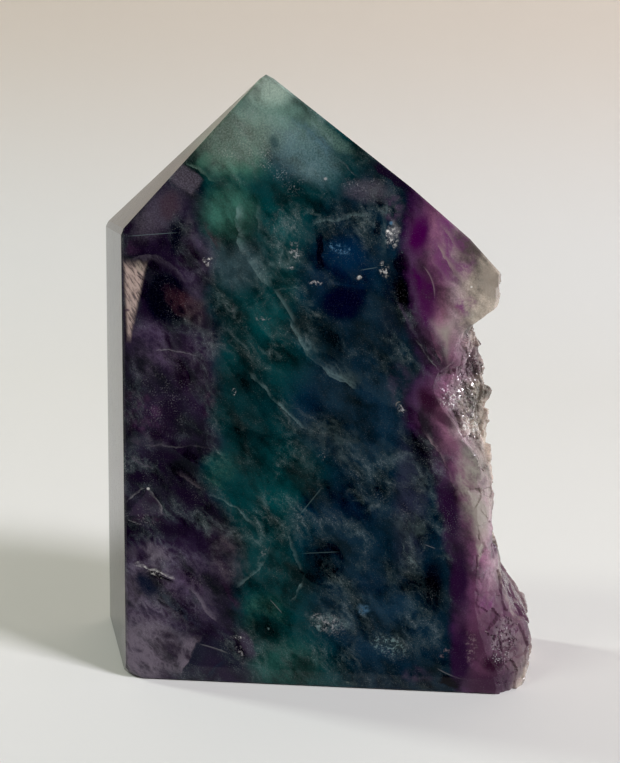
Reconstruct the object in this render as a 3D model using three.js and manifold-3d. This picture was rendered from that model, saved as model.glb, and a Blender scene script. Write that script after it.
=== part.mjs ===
// Fluorite slab obelisk: one piece of banded fluorite, sawn and polished on its front, left
// side, back, base and point, and left as it broke on its right-hand side.
// Millimetres, +Z up, front towards -Y.
//
// The stone is described from its lower front left corner: x runs right along the polished
// front, y runs back through the slab, z runs up. The finished mesh is then moved so that
// the middle of its footprint is the origin.

import * as THREE from "three";
import * as BufferGeometryUtils from "three/addons/utils/BufferGeometryUtils.js";
import Module from "manifold-3d";

const wasm = await Module();
wasm.setup();

// Driving dimensions of the sawn and polished faces.
const HEIGHT = 120;
const SHOULDER_HEIGHT = 90.6;
const BASE_DEPTH = 30.4;
const SHOULDER_DEPTH = 27.5;
const SIDE_FLARE = 10.5;
const APEX_X = 27;
const FAR_SHOULDER_X = 62;
const FAR_SHOULDER_HEIGHT = 89;
const POLISHED_EDGE = 0.25;
const KNOCKED_CORNER_RADIUS = 2.4;
const FOOTPRINT_MIDDLE_X = 36.53;
const FOOTPRINT_MIDDLE_Y = 15.19;

// The right shoulder of the point is ground in three flats that grow steeper towards the tip.
const RIGHT_FLATS = [
  { x: APEX_X, z: HEIGHT, slope: 36.4 },
  { x: 53.9, z: 100.2, slope: 39.3 },
  { x: 65.4, z: 90.8, slope: 46 },
];

// The broken side, as curves over the height. Each station is [height, value].
// BRINK is the x where the front face stops being flat, CREST_X and CREST_Y are the line
// that stands out furthest, and HEEL is the x where the broken side meets the back.
const BRINK = [
  [-6, 71.5], [3, 71], [12, 68], [22, 65.5], [30, 65.5], [36, 65], [43, 65.5], [48, 67.5],
  [51.5, 66], [55, 64], [58.5, 61], [62, 59.2], [65.5, 60.2], [67.5, 62.5], [71, 63.4],
  [73.4, 64.4], [75.6, 67.6], [78, 70.2], [82, 70.6], [86, 71], [96, 71],
];
const CREST_X = [
  [-6, 82], [1, 82.5], [6, 83.2], [10, 82.7], [13, 81.4], [17, 78.8], [22, 76.4], [27, 75.5],
  [31, 74], [36, 72.6], [41, 72.9], [46, 72], [52, 71.7], [56.5, 71.3], [61, 72], [64.5, 69.7],
  [69, 68.6], [73.5, 67.1], [75.8, 68.4], [78.5, 71.3], [84, 71.6], [96, 71.6],
];
const CREST_Y = [
  [-6, 13], [12, 12.5], [24, 12], [30, 9], [35, 6], [44, 6], [50, 8.5], [60, 9.5], [70, 8],
  [75, 5.5], [80, 3], [96, 3],
];
const HEEL = [
  [-6, 77], [8, 79], [20, 75.5], [30, 70.5], [38, 68], [48, 70], [58, 68.5], [66, 66],
  [74, 61.5], [82, 63.5], [96, 60],
];
// 1 rolls over like a worn lump from the brink to the crest, 0 runs straight as a fresh break.
const ROUNDNESS = [
  [-6, 1], [40, 1], [46, 0.8], [52, 0.25], [58, 0], [70, 0], [76, 0.4], [96, 0.6],
];
// How coarsely the side is broken: the mean height of its steps.
const BREAKAGE = [
  [-6, 0.35], [20, 0.4], [36, 0.35], [46, 0.6], [56, 1], [70, 1], [78, 0.5], [96, 0.4],
];

// Lumps (reach > 0) and hollows (reach < 0) on the broken side, at x, y, z.
const LUMPS = {
  knobOnLip: { x: 70, y: 9, z: 65.8, radius: 1.7, reach: 1.1 },
  tongue: { x: 69.5, y: 2.5, z: 32, radius: 4, reach: 1.1 },
  grooveBehindTongue: { x: 71.5, y: 7.5, z: 30.5, radius: 3.2, reach: -1.8 },
  linedPit: { x: 76, y: 3.2, z: 10, radius: 3.8, reach: -1.8 },
  rearBossLow: { x: 80, y: 25, z: 12, radius: 7, reach: 2.5 },
  rearHollow: { x: 71, y: 22, z: 37, radius: 8, reach: -2.2 },
  rearBossMiddle: { x: 72, y: 22, z: 55, radius: 6, reach: 1.6 },
  scoopUnderPoint: { x: 67, y: 16, z: 76, radius: 6, reach: -2 },
};

// Sampling of the broken side and of the sawn block around the stone.
const ROWS = 80;
const COLUMNS = 30;
const CREST_COLUMN = 0.5;
const BLOCK_LEFT = -20;
const BLOCK_BACK = 34;
const BLOCK_BOTTOM = -4;
const BLOCK_TOP = 126;
const BROKEN_SIDE_TOP = 90;
const GROUND_OFF_FRONT = 0.6;
const STEP_CELL = 3.6;
const LEDGE_CELL = 9.5;
const LEDGE_REACH = 1.5;
const SAW_SIZE = 400;

// A value that follows its stations smoothly, and is steady beyond the first and last one.
function along(stations, height) {
  const last = stations.length - 1;
  if (height <= stations[0][0]) return stations[0][1];
  if (height >= stations[last][0]) return stations[last][1];
  const i = stations.findIndex(([z]) => z > height) - 1;
  const [z0, a] = stations[i];
  const [z1, b] = stations[i + 1];
  const before = stations[Math.max(i - 1, 0)];
  const after = stations[Math.min(i + 2, last)];
  const span = z1 - z0;
  const leaving = ((b - before[1]) / (z1 - before[0])) * span;
  const arriving = ((after[1] - a) / (after[0] - z0)) * span;
  const t = (height - z0) / span;
  const bend = t * (1 - t);
  const ease = t * t * (3 - 2 * t);
  return a + (b - a) * ease + bend * (leaving * (1 - t) - arriving * t);
}

// A fixed pseudo-random number from 0 to 1 for each pair of whole numbers.
function scatter(i, j) {
  const s = Math.sin(i * 127.1 + j * 311.7) * 43758.5453;
  return s - Math.floor(s);
}

// Steps of a cleaved break: the side is shared out between cells, each with its own level
// and tilt. The result is about -1 to 1.
function steps(depth, height, cell) {
  const u = depth / cell;
  const v = height / cell;
  let nearest = Infinity;
  let level = 0;
  for (let i = Math.floor(u) - 1; i <= Math.floor(u) + 1; i++) {
    for (let j = Math.floor(v) - 1; j <= Math.floor(v) + 1; j++) {
      const du = u - (i + scatter(i, j));
      const dv = v - (j + scatter(j + 57, i));
      const distance = du * du + dv * dv;
      if (distance < nearest) {
        nearest = distance;
        const tilt = du * (scatter(i + 11, j) - 0.5) + dv * (scatter(i, j + 23) - 0.5);
        level = 2 * scatter(i + 5, j + 91) - 1 + 1.6 * tilt;
      }
    }
  }
  return level;
}

// The smooth plan outline of the broken side at one height, from the front (t = 0) round
// the crest to the back (t = 1).
function outline(t, height) {
  const brink = along(BRINK, height);
  const crestX = along(CREST_X, height);
  const crestY = along(CREST_Y, height);
  const heel = along(HEEL, height);
  if (t > CREST_COLUMN) {
    const turn = ((t - CREST_COLUMN) / (1 - CREST_COLUMN)) * (Math.PI / 2);
    const x = heel + (crestX - heel) * Math.cos(turn);
    return new THREE.Vector3(x, crestY + (BLOCK_BACK - crestY) * Math.sin(turn), height);
  }
  const s = t / CREST_COLUMN;
  const turn = s * (Math.PI / 2);
  const roundness = along(ROUNDNESS, height);
  const out = THREE.MathUtils.lerp(s, Math.sin(turn), roundness);
  const back = THREE.MathUtils.lerp(s, 1 - Math.cos(turn), roundness);
  const x = brink + (crestX - brink) * out;
  return new THREE.Vector3(x, -GROUND_OFF_FRONT + (crestY + GROUND_OFF_FRONT) * back, height);
}

// A point of the broken side: the outline pushed out or in by lumps and steps.
function brokenSide(t, height) {
  const nudge = 0.01;
  const point = outline(t, height);
  const ahead = outline(Math.min(t + nudge, 1), height);
  const behind = outline(Math.max(t - nudge, 0), height);
  const outward = new THREE.Vector3(ahead.y - behind.y, behind.x - ahead.x, 0).normalize();
  const slant = point.y + 0.6 * point.x;
  const ledge = steps(point.y + 0.7 * height, height - 0.4 * point.y, LEDGE_CELL) - 1;
  let reach = along(BREAKAGE, height) * steps(slant, height, STEP_CELL);
  reach += LEDGE_REACH * ledge * THREE.MathUtils.smoothstep(point.y, 7, 16);
  for (const lump of Object.values(LUMPS)) {
    const away = point.distanceTo(new THREE.Vector3(lump.x, lump.y, lump.z));
    reach += lump.reach * Math.exp(-((away / lump.radius) ** 2));
  }
  const fade = THREE.MathUtils.smoothstep(t, 0, 0.15) * (1 - THREE.MathUtils.smoothstep(t, 0.9, 1));
  return point.addScaledVector(outward, reach * fade);
}

// A geometry as a solid that can be cut.
function toSolid(geometry) {
  const bare = geometry.clone();
  bare.deleteAttribute("normal");
  bare.deleteAttribute("uv");
  const merged = BufferGeometryUtils.mergeVertices(bare);
  const vertProperties = new Float32Array(merged.attributes.position.array);
  const triVerts = new Uint32Array(merged.index.array);
  return new wasm.Manifold(new wasm.Mesh({ numProp: 3, vertProperties, triVerts }));
}

// The sawn block before polishing: a box whose right-hand side is the broken side.
function makeRoughBlock() {
  const block = new THREE.BoxGeometry(1, 1, 1, 1, COLUMNS, ROWS);
  const corners = block.attributes.position;
  for (let i = 0; i < corners.count; i++) {
    const t = corners.getY(i) + 0.5;
    const row = Math.round((corners.getZ(i) + 0.5) * ROWS);
    const share = row / (ROWS - 1);
    const height = row === ROWS ? BLOCK_TOP : THREE.MathUtils.lerp(BLOCK_BOTTOM, BROKEN_SIDE_TOP, share);
    const point = brokenSide(t, height);
    corners.setXYZ(i, corners.getX(i) > 0 ? point.x : BLOCK_LEFT, point.y, height);
  }
  return toSolid(block);
}

// A flat face: an outward normal, and how far the face lies along it.
function flatFace(normal, point) {
  const unit = normal.clone().normalize();
  return { normal: unit, reach: unit.dot(point) };
}

function faceThrough(a, b, c) {
  const normal = new THREE.Vector3().crossVectors(b.clone().sub(a), c.clone().sub(a));
  return flatFace(normal, a);
}

// The narrow polished bevel along the edge where two faces meet.
function bevelBetween(first, second, depth) {
  const cosine = first.normal.dot(second.normal);
  const scale = 1 / (1 - cosine * cosine);
  const edge = first.normal.clone().multiplyScalar((first.reach - second.reach * cosine) * scale);
  edge.addScaledVector(second.normal, (second.reach - first.reach * cosine) * scale);
  const bevel = flatFace(first.normal.clone().add(second.normal), edge);
  return { normal: bevel.normal, reach: bevel.reach - depth };
}

// The facets that take the sharpness off a corner, as flats on a ball that fits in it.
function roundedCorner(faces, radius) {
  const [a, b, c] = faces;
  const inward = new THREE.Matrix3().set(
    a.normal.x, a.normal.y, a.normal.z,
    b.normal.x, b.normal.y, b.normal.z,
    c.normal.x, c.normal.y, c.normal.z,
  ).invert();
  const middle = new THREE.Vector3(a.reach - radius, b.reach - radius, c.reach - radius);
  middle.applyMatrix3(inward);
  const mixes = [[1, 1, 1], [1, 1, 2.4], [1, 1, 0.4], [2.4, 1, 1.6], [1, 2.4, 1.6]];
  return mixes.map(([p, q, r]) => {
    const normal = a.normal.clone().multiplyScalar(p);
    normal.addScaledVector(b.normal, q).addScaledVector(c.normal, r).normalize();
    return flatFace(normal, middle.clone().addScaledVector(normal, radius));
  });
}

// Takes away everything that lies outside a face.
function sawOff(solid, face) {
  const waste = new THREE.BoxGeometry(SAW_SIZE, SAW_SIZE, SAW_SIZE);
  waste.translate(0, 0, SAW_SIZE / 2);
  const turn = new THREE.Quaternion().setFromUnitVectors(new THREE.Vector3(0, 0, 1), face.normal);
  waste.applyQuaternion(turn);
  const seat = face.normal.clone().multiplyScalar(face.reach);
  waste.translate(seat.x, seat.y, seat.z);
  return solid.subtract(toSolid(waste));
}

function makeStone() {
  const corner = new THREE.Vector3(0, 0, 0);
  const apex = new THREE.Vector3(APEX_X, 0, HEIGHT);
  const shoulder = new THREE.Vector3(0, 0, SHOULDER_HEIGHT);
  const backCorner = new THREE.Vector3(-SIDE_FLARE, BASE_DEPTH, 0);
  const flareAtShoulder = (SIDE_FLARE * SHOULDER_DEPTH) / BASE_DEPTH;
  const backShoulder = new THREE.Vector3(-flareAtShoulder, SHOULDER_DEPTH, SHOULDER_HEIGHT);
  const farShoulder = new THREE.Vector3(FAR_SHOULDER_X, SHOULDER_DEPTH, FAR_SHOULDER_HEIGHT);
  const backFoot = new THREE.Vector3(FAR_SHOULDER_X, BASE_DEPTH, 0);

  const front = flatFace(new THREE.Vector3(0, -1, 0), corner);
  const base = flatFace(new THREE.Vector3(0, 0, -1), corner);
  const left = faceThrough(corner, shoulder, backCorner);
  const back = faceThrough(backCorner, backShoulder, backFoot);
  const pointLeft = faceThrough(shoulder, apex, backShoulder);
  const pointBack = faceThrough(backShoulder, apex, farShoulder);
  const pointRight = RIGHT_FLATS.map(({ x, z, slope }) => {
    const angle = THREE.MathUtils.degToRad(slope);
    const normal = new THREE.Vector3(Math.sin(angle), 0, Math.cos(angle));
    return flatFace(normal, new THREE.Vector3(x, 0, z));
  });

  const faces = [front, base, left, back, pointLeft, pointBack, ...pointRight];
  const edges = [
    [front, left], [front, pointLeft], [front, base], [left, base], [back, base],
    [left, back], [left, pointLeft], [back, pointBack], [pointLeft, pointBack],
    [pointLeft, pointRight[0]],
    ...pointRight.flatMap((flat) => [[front, flat], [pointBack, flat], [back, flat]]),
  ];
  const bevels = edges.map(([a, b]) => bevelBetween(a, b, POLISHED_EDGE));
  const corners = roundedCorner([front, left, base], KNOCKED_CORNER_RADIUS);

  const stone = [...faces, ...bevels, ...corners].reduce(sawOff, makeRoughBlock());
  const { vertProperties, triVerts } = stone.getMesh();
  const geometry = new THREE.BufferGeometry();
  geometry.setAttribute("position", new THREE.BufferAttribute(vertProperties, 3));
  geometry.setIndex(new THREE.BufferAttribute(triVerts, 1));
  geometry.translate(-FOOTPRINT_MIDDLE_X, -FOOTPRINT_MIDDLE_Y, 0);
  geometry.computeVertexNormals();
  return geometry;
}

const fluorite = new THREE.MeshStandardMaterial({ color: 0x23313a, roughness: 0.12, metalness: 0 });
const slab = new THREE.Mesh(makeStone(), fluorite);
slab.name = "fluorite_slab";

const part = new THREE.Group();
part.add(slab);

export default part;
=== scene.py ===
"""Fluorite slab obelisk: the finished stone, its sparkling crystal crust and a plain studio.

Everything is in the part's own frame, in metres. Measures of the stone are written in
millimetres from its lower front left corner: x right along the polished front, y back
through the slab, z up.
"""

import math

import bmesh
import bpy
import numpy as np
from bpy.props import FloatProperty, FloatVectorProperty, IntProperty, PointerProperty
from mathutils import Matrix, Vector


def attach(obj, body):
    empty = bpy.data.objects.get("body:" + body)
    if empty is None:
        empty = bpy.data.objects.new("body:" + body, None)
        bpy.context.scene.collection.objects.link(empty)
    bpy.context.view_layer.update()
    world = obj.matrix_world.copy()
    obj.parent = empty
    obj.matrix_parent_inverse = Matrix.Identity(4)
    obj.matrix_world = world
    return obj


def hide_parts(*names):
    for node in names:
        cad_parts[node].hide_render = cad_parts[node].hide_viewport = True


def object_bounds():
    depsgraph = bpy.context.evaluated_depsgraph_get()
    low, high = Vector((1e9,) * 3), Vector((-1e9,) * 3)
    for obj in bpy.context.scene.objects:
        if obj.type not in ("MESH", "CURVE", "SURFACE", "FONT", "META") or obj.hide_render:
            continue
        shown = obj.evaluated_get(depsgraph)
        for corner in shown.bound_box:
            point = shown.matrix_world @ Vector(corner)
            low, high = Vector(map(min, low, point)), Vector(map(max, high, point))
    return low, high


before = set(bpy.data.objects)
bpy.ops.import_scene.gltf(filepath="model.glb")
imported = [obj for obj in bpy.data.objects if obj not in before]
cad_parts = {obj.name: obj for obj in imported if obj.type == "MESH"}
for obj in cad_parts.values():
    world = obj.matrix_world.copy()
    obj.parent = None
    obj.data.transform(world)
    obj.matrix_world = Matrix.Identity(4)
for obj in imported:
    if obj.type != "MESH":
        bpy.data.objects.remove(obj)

bl_info = {
    "name": "Fluorite slab obelisk",
    "version": (1, 0, 0),
    "blender": (4, 5, 0),
    "location": "View3D > Sidebar > Fluorite",
    "description": "Builds a half-polished slab of banded fluorite and a plain studio around it",
    "category": "Object",
}

CAD_LOW, CAD_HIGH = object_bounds()
NODE = "fluorite_slab"
BODY = "root"

MM = 0.001
# The middle of the part's footprint, which the frame has at its origin.
FOOTPRINT_MIDDLE = Vector((36.53, 15.19, 0.0))

# ------------------------------------------------------------------ sizes of the stone, mm

HEIGHT = 120
SHOULDER_HEIGHT = 90.6
BASE_DEPTH = 30.4
SHOULDER_DEPTH = 27.5
SIDE_FLARE = 10.5
APEX_X = 27
FAR_SHOULDER_X = 62
FAR_SHOULDER_HEIGHT = 89

# The knocked corner: its radius, and how its facets lean towards the front, left and base.
KNOCKED_CORNER_RADIUS = 2.4
KNOCKED_CORNER_FACETS = ((1, 1, 1), (1, 1, 2.4), (1, 1, 0.4), (2.4, 1, 1.6), (1, 2.4, 1.6))

# The flats of the point's right shoulder: x and z of a point on each, and its slope.
RIGHT_FLATS = ((APEX_X, HEIGHT, 36.4), (53.9, 100.2, 39.3), (65.4, 90.8, 46))

# The broken side, as curves over the height. Each station is (height, value).
BRINK = (
    (-6, 71.5), (3, 71), (12, 68), (22, 65.5), (30, 65.5), (36, 65), (43, 65.5), (48, 67.5),
    (51.5, 66), (55, 64), (58.5, 61), (62, 59.2), (65.5, 60.2), (67.5, 62.5), (71, 63.4),
    (73.4, 64.4), (75.6, 67.6), (78, 70.2), (82, 70.6), (86, 71), (96, 71),
)
CREST_X = (
    (-6, 82), (1, 82.5), (6, 83.2), (10, 82.7), (13, 81.4), (17, 78.8), (22, 76.4), (27, 75.5),
    (31, 74), (36, 72.6), (41, 72.9), (46, 72), (52, 71.7), (56.5, 71.3), (61, 72),
    (64.5, 69.7), (69, 68.6), (73.5, 67.1), (75.8, 68.4), (78.5, 71.3), (84, 71.6), (96, 71.6),
)
CREST_Y = (
    (-6, 13), (12, 12.5), (24, 12), (30, 9), (35, 6), (44, 6), (50, 8.5), (60, 9.5), (70, 8),
    (75, 5.5), (80, 3), (96, 3),
)
HEEL = (
    (-6, 77), (8, 79), (20, 75.5), (30, 70.5), (38, 68), (48, 70), (58, 68.5), (66, 66),
    (74, 61.5), (82, 63.5), (96, 60),
)
ROUNDNESS = ((-6, 1), (40, 1), (46, 0.8), (52, 0.25), (58, 0), (70, 0), (76, 0.4), (96, 0.6))
BREAKAGE = (
    (-6, 0.35), (20, 0.4), (36, 0.35), (46, 0.6), (56, 1), (70, 1), (78, 0.5), (96, 0.4),
)

# Lumps (reach > 0) and hollows (reach < 0) of the broken side: place, radius, reach.
LUMPS = {
    "knob on lip": ((70, 9, 65.8), 1.7, 1.1),
    "tongue": ((69.5, 2.5, 32), 4, 1.1),
    "groove behind tongue": ((71.5, 7.5, 30.5), 3.2, -1.8),
    "lined pit": ((76, 3.2, 10), 3.8, -1.8),
    "rear boss low": ((80, 25, 12), 7, 2.5),
    "rear hollow": ((71, 22, 37), 8, -2.2),
    "rear boss middle": ((72, 22, 55), 6, 1.6),
    "scoop under point": ((67, 16, 76), 6, -2),
}

# The rough block, and the share of the broken side that lies in front of its crest.
BLOCK_LEFT = -20
BLOCK_BACK = 34
BLOCK_BOTTOM = -4
BLOCK_TOP = 126
BROKEN_SIDE_TOP = 90
GROUND_OFF_FRONT = 0.6
CREST_SHARE = 0.5

# The steps of the break, and the broad ledges that begin some way behind the front.
STEP_CELL = 3.6
STEP_LEAN = 0.6
STEP_TILT = 1.6
LEDGE_CELL = 9.5
LEDGE_RISE = 0.7
LEDGE_DIP = 0.4
LEDGE_REACH = 1.5
LEDGE_DEPTHS = (7, 16)

# Shares of the broken side over which its relief grows at the front and fades at the back.
RELIEF_GROWS = (0, 0.15)
RELIEF_FADES = (0.9, 1)
OUTLINE_NUDGE = 0.01

# The fine surface of the break, which only the finished mesh has.
ROW_SPACING = 0.3
FRONT_COLUMNS = 64
REAR_COLUMNS = 96
SHARP_EDGE = math.radians(28)
CHIP_CELL = 1.5
CRUMB_CELL = 0.7
CHIP_SHARE = 0.8
CRUMB_SHARE = 0.3
SHELL_SHARE = 0.12
SHELL_PITCH = 2.2
SHELL_WAVER = 1.4

CUT_TOLERANCE = 1e-6


# -------------------------------------------------------------------------- settings panel


def colour_setting(name, description, shade):
    """A colour property. The shade is written as it looks on screen, 0 to 255."""
    default = tuple(to_linear(part) for part in shade)
    return FloatVectorProperty(
        name=name, description=description, subtype="COLOR", size=3, min=0, max=1, default=default
    )


def to_linear(part):
    part /= 255
    return part / 12.92 if part <= 0.04045 else ((part + 0.055) / 1.055) ** 2.4


class FluoriteColours(bpy.types.PropertyGroup):
    """The colours that the stone is banded, clouded and veined with."""

    slate: colour_setting("Slate", "Ground colour between the bands", (7, 24, 37))
    black: colour_setting("Black", "Darkest gaps", (3, 3, 8))
    purple_black: colour_setting("Purple black", "Deep shadow of the left side", (24, 16, 33))
    slate_violet: colour_setting("Slate violet", "Hazy patches of the left side", (70, 56, 78))
    haze_grey: colour_setting("Haze grey", "Grey haze", (100, 93, 105))
    haze_brown: colour_setting("Haze brown", "Brownish haze", (80, 72, 78))
    haze_violet: colour_setting("Haze violet", "Milky foot of the left side", (108, 99, 111))
    maroon: colour_setting("Maroon", "Reddish stains at the left", (62, 36, 44))
    plum: colour_setting("Plum", "Purple blush", (56, 34, 58))
    wine: colour_setting("Wine", "Reddish purple patches", (60, 34, 56))
    wine_dark: colour_setting("Dark wine", "Reddish purple shadow", (44, 18, 38))
    plum_grey: colour_setting("Plum grey", "Rough recess of the broken side", (88, 68, 82))
    fur: colour_setting("Furry inclusion", "Pale fibrous patch at the left edge", (178, 158, 150))
    bottle_green: colour_setting("Bottle green", "Darkest of the green band", (0, 25, 29))
    sea_green: colour_setting("Sea green", "Middle of the green band", (4, 40, 43))
    teal_green: colour_setting("Teal green", "Clear parts of the green band", (0, 54, 56))
    leaf_green: colour_setting("Leaf green", "Upper green", (52, 94, 80))
    mist_green: colour_setting("Mist green", "Hazy green of the point", (104, 132, 120))
    pale_green: colour_setting("Pale green", "Tip of the point", (146, 160, 148))
    teal: colour_setting("Teal", "Between green and blue", (3, 44, 54))
    deep_blue: colour_setting("Deep blue", "Blue gloom", (1, 17, 38))
    window_blue: colour_setting("Window blue", "Clear blue of the middle", (5, 38, 68))
    navy: colour_setting("Navy", "Nearly black blue", (3, 5, 17))
    navy_blue: colour_setting("Navy blue", "Deep of the blue window", (1, 9, 30))
    pane_blue: colour_setting("Pane blue", "Dark pane of the foot", (32, 35, 48))
    slate_blue: colour_setting("Slate blue", "Lower middle", (26, 46, 62))
    slate_sky: colour_setting("Slate sky", "Blue of the point", (62, 98, 114))
    sky: colour_setting("Sky blue", "Small bright blue spots", (78, 118, 148))
    violet: colour_setting("Violet", "Vivid band of the right side", (64, 8, 66))
    dark_violet: colour_setting("Dark violet", "Shaded band of the right side", (38, 18, 46))
    orchid: colour_setting("Orchid", "Bright purple patches of the right side", (110, 56, 104))
    mauve_dark: colour_setting("Dark mauve", "Deeper purple of the right side", (78, 46, 70))
    mauve: colour_setting("Mauve", "Purple of the thin right side", (110, 74, 94))
    rose: colour_setting("Rose", "Pink of the upper lobe", (116, 74, 92))
    lilac: colour_setting("Lilac", "Waxy right side", (138, 119, 125))
    # Tan is the colour of real grains and the fur's top; along the broken side's thin rims it also
    # paints light shining through the stone.
    tan: colour_setting("Tan", "Tan, and painted light through thin rims", (158, 147, 135))
    pale_tan: colour_setting("Pale tan", "Palest wax of the right side", (156, 151, 141))
    milk: colour_setting("Milk", "Veils and healed cracks", (138, 166, 166))
    bone: colour_setting("Bone", "Veils among the purples", (180, 178, 180))
    # The white of real flecks, and also of the painted highlights in the recess.
    fleck_and_glint_white: colour_setting("Fleck and glint white", "White flecks, and painted glints of the recess", (232, 230, 226))


class FluoriteStone(bpy.types.PropertyGroup):
    """How the stone is finished."""

    polished_edge: FloatProperty(
        name="Polished edge", description="Depth that is taken off the polished edges, in mm",
        default=0.25, min=0.05, max=1,
    )
    fine_steps: FloatProperty(
        name="Fine steps", description="Reach of the small steps of the break, in mm",
        default=0.3, min=0, max=1,
    )
    polish: FloatProperty(
        name="Polish", description="Roughness of the polished faces", default=0.07, min=0, max=1,
    )
    wet_break: FloatProperty(
        name="Break", description="Roughness of the broken side", default=0.17, min=0, max=1,
    )
    crystal_size: FloatProperty(
        name="Crystal size", description="Mean width of the sparkling crystals, in mm",
        default=0.6, min=0.1, max=3,
    )
    crystal_density: FloatProperty(
        name="Crystal density", description="Sparkling crystals per square millimetre",
        default=2.0, min=0, max=10,
    )
    crystal_seed: IntProperty(
        name="Crystal seed", description="Arrangement of the crystals", default=4,
    )


class FluoriteStage(bpy.types.PropertyGroup):
    """The table, the lights and the camera."""

    key_power: FloatProperty(
        name="Key light", description="Power of the light at the right", default=18.0,
        min=0, unit="POWER",
    )
    fill_power: FloatProperty(
        name="Fill light", description="Power of the soft light at the left", default=17.2,
        min=0, unit="POWER",
    )
    room_light: FloatProperty(
        name="Room light", description="Strength of the light from all round", default=0.075, min=0,
    )
    floor: colour_setting("Table", "Colour of the table", (232, 232, 230))
    # The upper backdrop is darker and warmer than the table: painted shade where less light
    # reaches.
    backdrop: colour_setting("Backdrop", "Darker colour of the upper backdrop, as painted shade", (224, 213, 200))


# ------------------------------------------------------------------- shape of the broken side


def along(stations, height):
    """A value that follows its stations smoothly, and is steady beyond the first and last one."""
    places, values = (np.array(column, dtype=float) for column in zip(*stations))
    height = np.clip(height, places[0], places[-1])
    last = len(places) - 1
    i = np.clip(np.searchsorted(places, height, side="right") - 1, 0, last - 1)
    before = np.maximum(i - 1, 0)
    after = np.minimum(i + 2, last)
    span = places[i + 1] - places[i]
    leaving = (values[i + 1] - values[before]) / (places[i + 1] - places[before]) * span
    arriving = (values[after] - values[i]) / (places[after] - places[i]) * span
    t = (height - places[i]) / span
    ease = t * t * (3 - 2 * t)
    steady = values[i] + (values[i + 1] - values[i]) * ease
    return steady + t * (1 - t) * (leaving * (1 - t) - arriving * t)


def smoothstep(value, low, high):
    t = np.clip((value - low) / (high - low), 0, 1)
    return t * t * (3 - 2 * t)


def scatter(i, j):
    """A fixed pseudo-random number from 0 to 1 for each pair of whole numbers."""
    s = np.sin(i * 127.1 + j * 311.7) * 43758.5453
    return s - np.floor(s)


def steps(depth, height, cell):
    """Steps of a cleaved break: cells that each have their own level and tilt, about -1 to 1.

    The numbers added to i and j only keep one draw of a cell apart from another.
    """
    u, v = depth / cell, height / cell
    nearest = np.full(u.shape, np.inf)
    level = np.zeros(u.shape)
    for right in (-1, 0, 1):
        for up in (-1, 0, 1):
            i, j = np.floor(u) + right, np.floor(v) + up
            du = u - (i + scatter(i, j))
            dv = v - (j + scatter(j + 57, i))
            distance = du * du + dv * dv
            tilt = du * (scatter(i + 11, j) - 0.5) + dv * (scatter(i, j + 23) - 0.5)
            mine = 2 * scatter(i + 5, j + 91) - 1 + STEP_TILT * tilt
            closer = distance < nearest
            nearest = np.where(closer, distance, nearest)
            level = np.where(closer, mine, level)
    return level


def outline(t, height):
    """The smooth plan outline of the broken side, from the front (t = 0) to the back (t = 1)."""
    brink, crest_x = along(BRINK, height), along(CREST_X, height)
    crest_y, heel = along(CREST_Y, height), along(HEEL, height)
    rear_turn = np.clip((t - CREST_SHARE) / (1 - CREST_SHARE), 0, 1) * math.pi / 2
    rear_x = heel + (crest_x - heel) * np.cos(rear_turn)
    rear_y = crest_y + (BLOCK_BACK - crest_y) * np.sin(rear_turn)
    s = np.clip(t / CREST_SHARE, 0, 1)
    turn = s * math.pi / 2
    roundness = along(ROUNDNESS, height)
    out = s + (np.sin(turn) - s) * roundness
    back = s + (1 - np.cos(turn) - s) * roundness
    front_x = brink + (crest_x - brink) * out
    front_y = -GROUND_OFF_FRONT + (crest_y + GROUND_OFF_FRONT) * back
    rear = t > CREST_SHARE
    return np.where(rear, rear_x, front_x), np.where(rear, rear_y, front_y)


def broken_side(t, height, fine_reach):
    """Points of the broken side: the outline pushed out or in by lumps, steps and fine steps."""
    x, y = outline(t, height)
    ahead_x, ahead_y = outline(np.minimum(t + OUTLINE_NUDGE, 1), height)
    behind_x, behind_y = outline(np.maximum(t - OUTLINE_NUDGE, 0), height)
    out_x, out_y = ahead_y - behind_y, behind_x - ahead_x
    length = np.hypot(out_x, out_y)
    slant = y + STEP_LEAN * x
    ledge = steps(y + LEDGE_RISE * height, height - LEDGE_DIP * y, LEDGE_CELL) - 1
    breakage = along(BREAKAGE, height)
    reach = breakage * steps(slant, height, STEP_CELL)
    reach += LEDGE_REACH * ledge * smoothstep(y, *LEDGE_DEPTHS)
    for (lump_x, lump_y, lump_z), radius, lump_reach in LUMPS.values():
        away = (x - lump_x) ** 2 + (y - lump_y) ** 2 + (height - lump_z) ** 2
        reach += lump_reach * np.exp(-away / radius**2)
    reach += fine_reach * fine_relief(slant, height, breakage)
    fade = smoothstep(t, *RELIEF_GROWS) * (1 - smoothstep(t, *RELIEF_FADES))
    reach *= fade / length
    return x + out_x * reach, y + out_y * reach, height


def fine_relief(slant, height, breakage):
    """The small steps and shells of the break, from about -1 to 1."""
    rise = height + 0.8 * slant
    chips = steps(slant + 0.35 * np.sin(height), rise, CHIP_CELL)
    crumbs = steps(slant - 0.5 * height, rise, CRUMB_CELL)
    waver = SHELL_WAVER * np.sin(0.8 * slant - 0.5 * height)
    shells = np.sin(SHELL_PITCH * (height + 0.5 * slant) + waver)
    stepped = CHIP_SHARE * chips + CRUMB_SHARE * crumbs
    return breakage * stepped + SHELL_SHARE * shells * (1 - breakage)


# ------------------------------------------------------------------ sawn and polished faces


class FlatFace:
    """A flat face: an outward normal, and how far the face lies along it."""

    def __init__(self, normal, point):
        self.normal = Vector(normal).normalized()
        self.reach = self.normal.dot(Vector(point))


def face_through(a, b, c):
    a, b, c = Vector(a), Vector(b), Vector(c)
    return FlatFace((b - a).cross(c - a), a)


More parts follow.
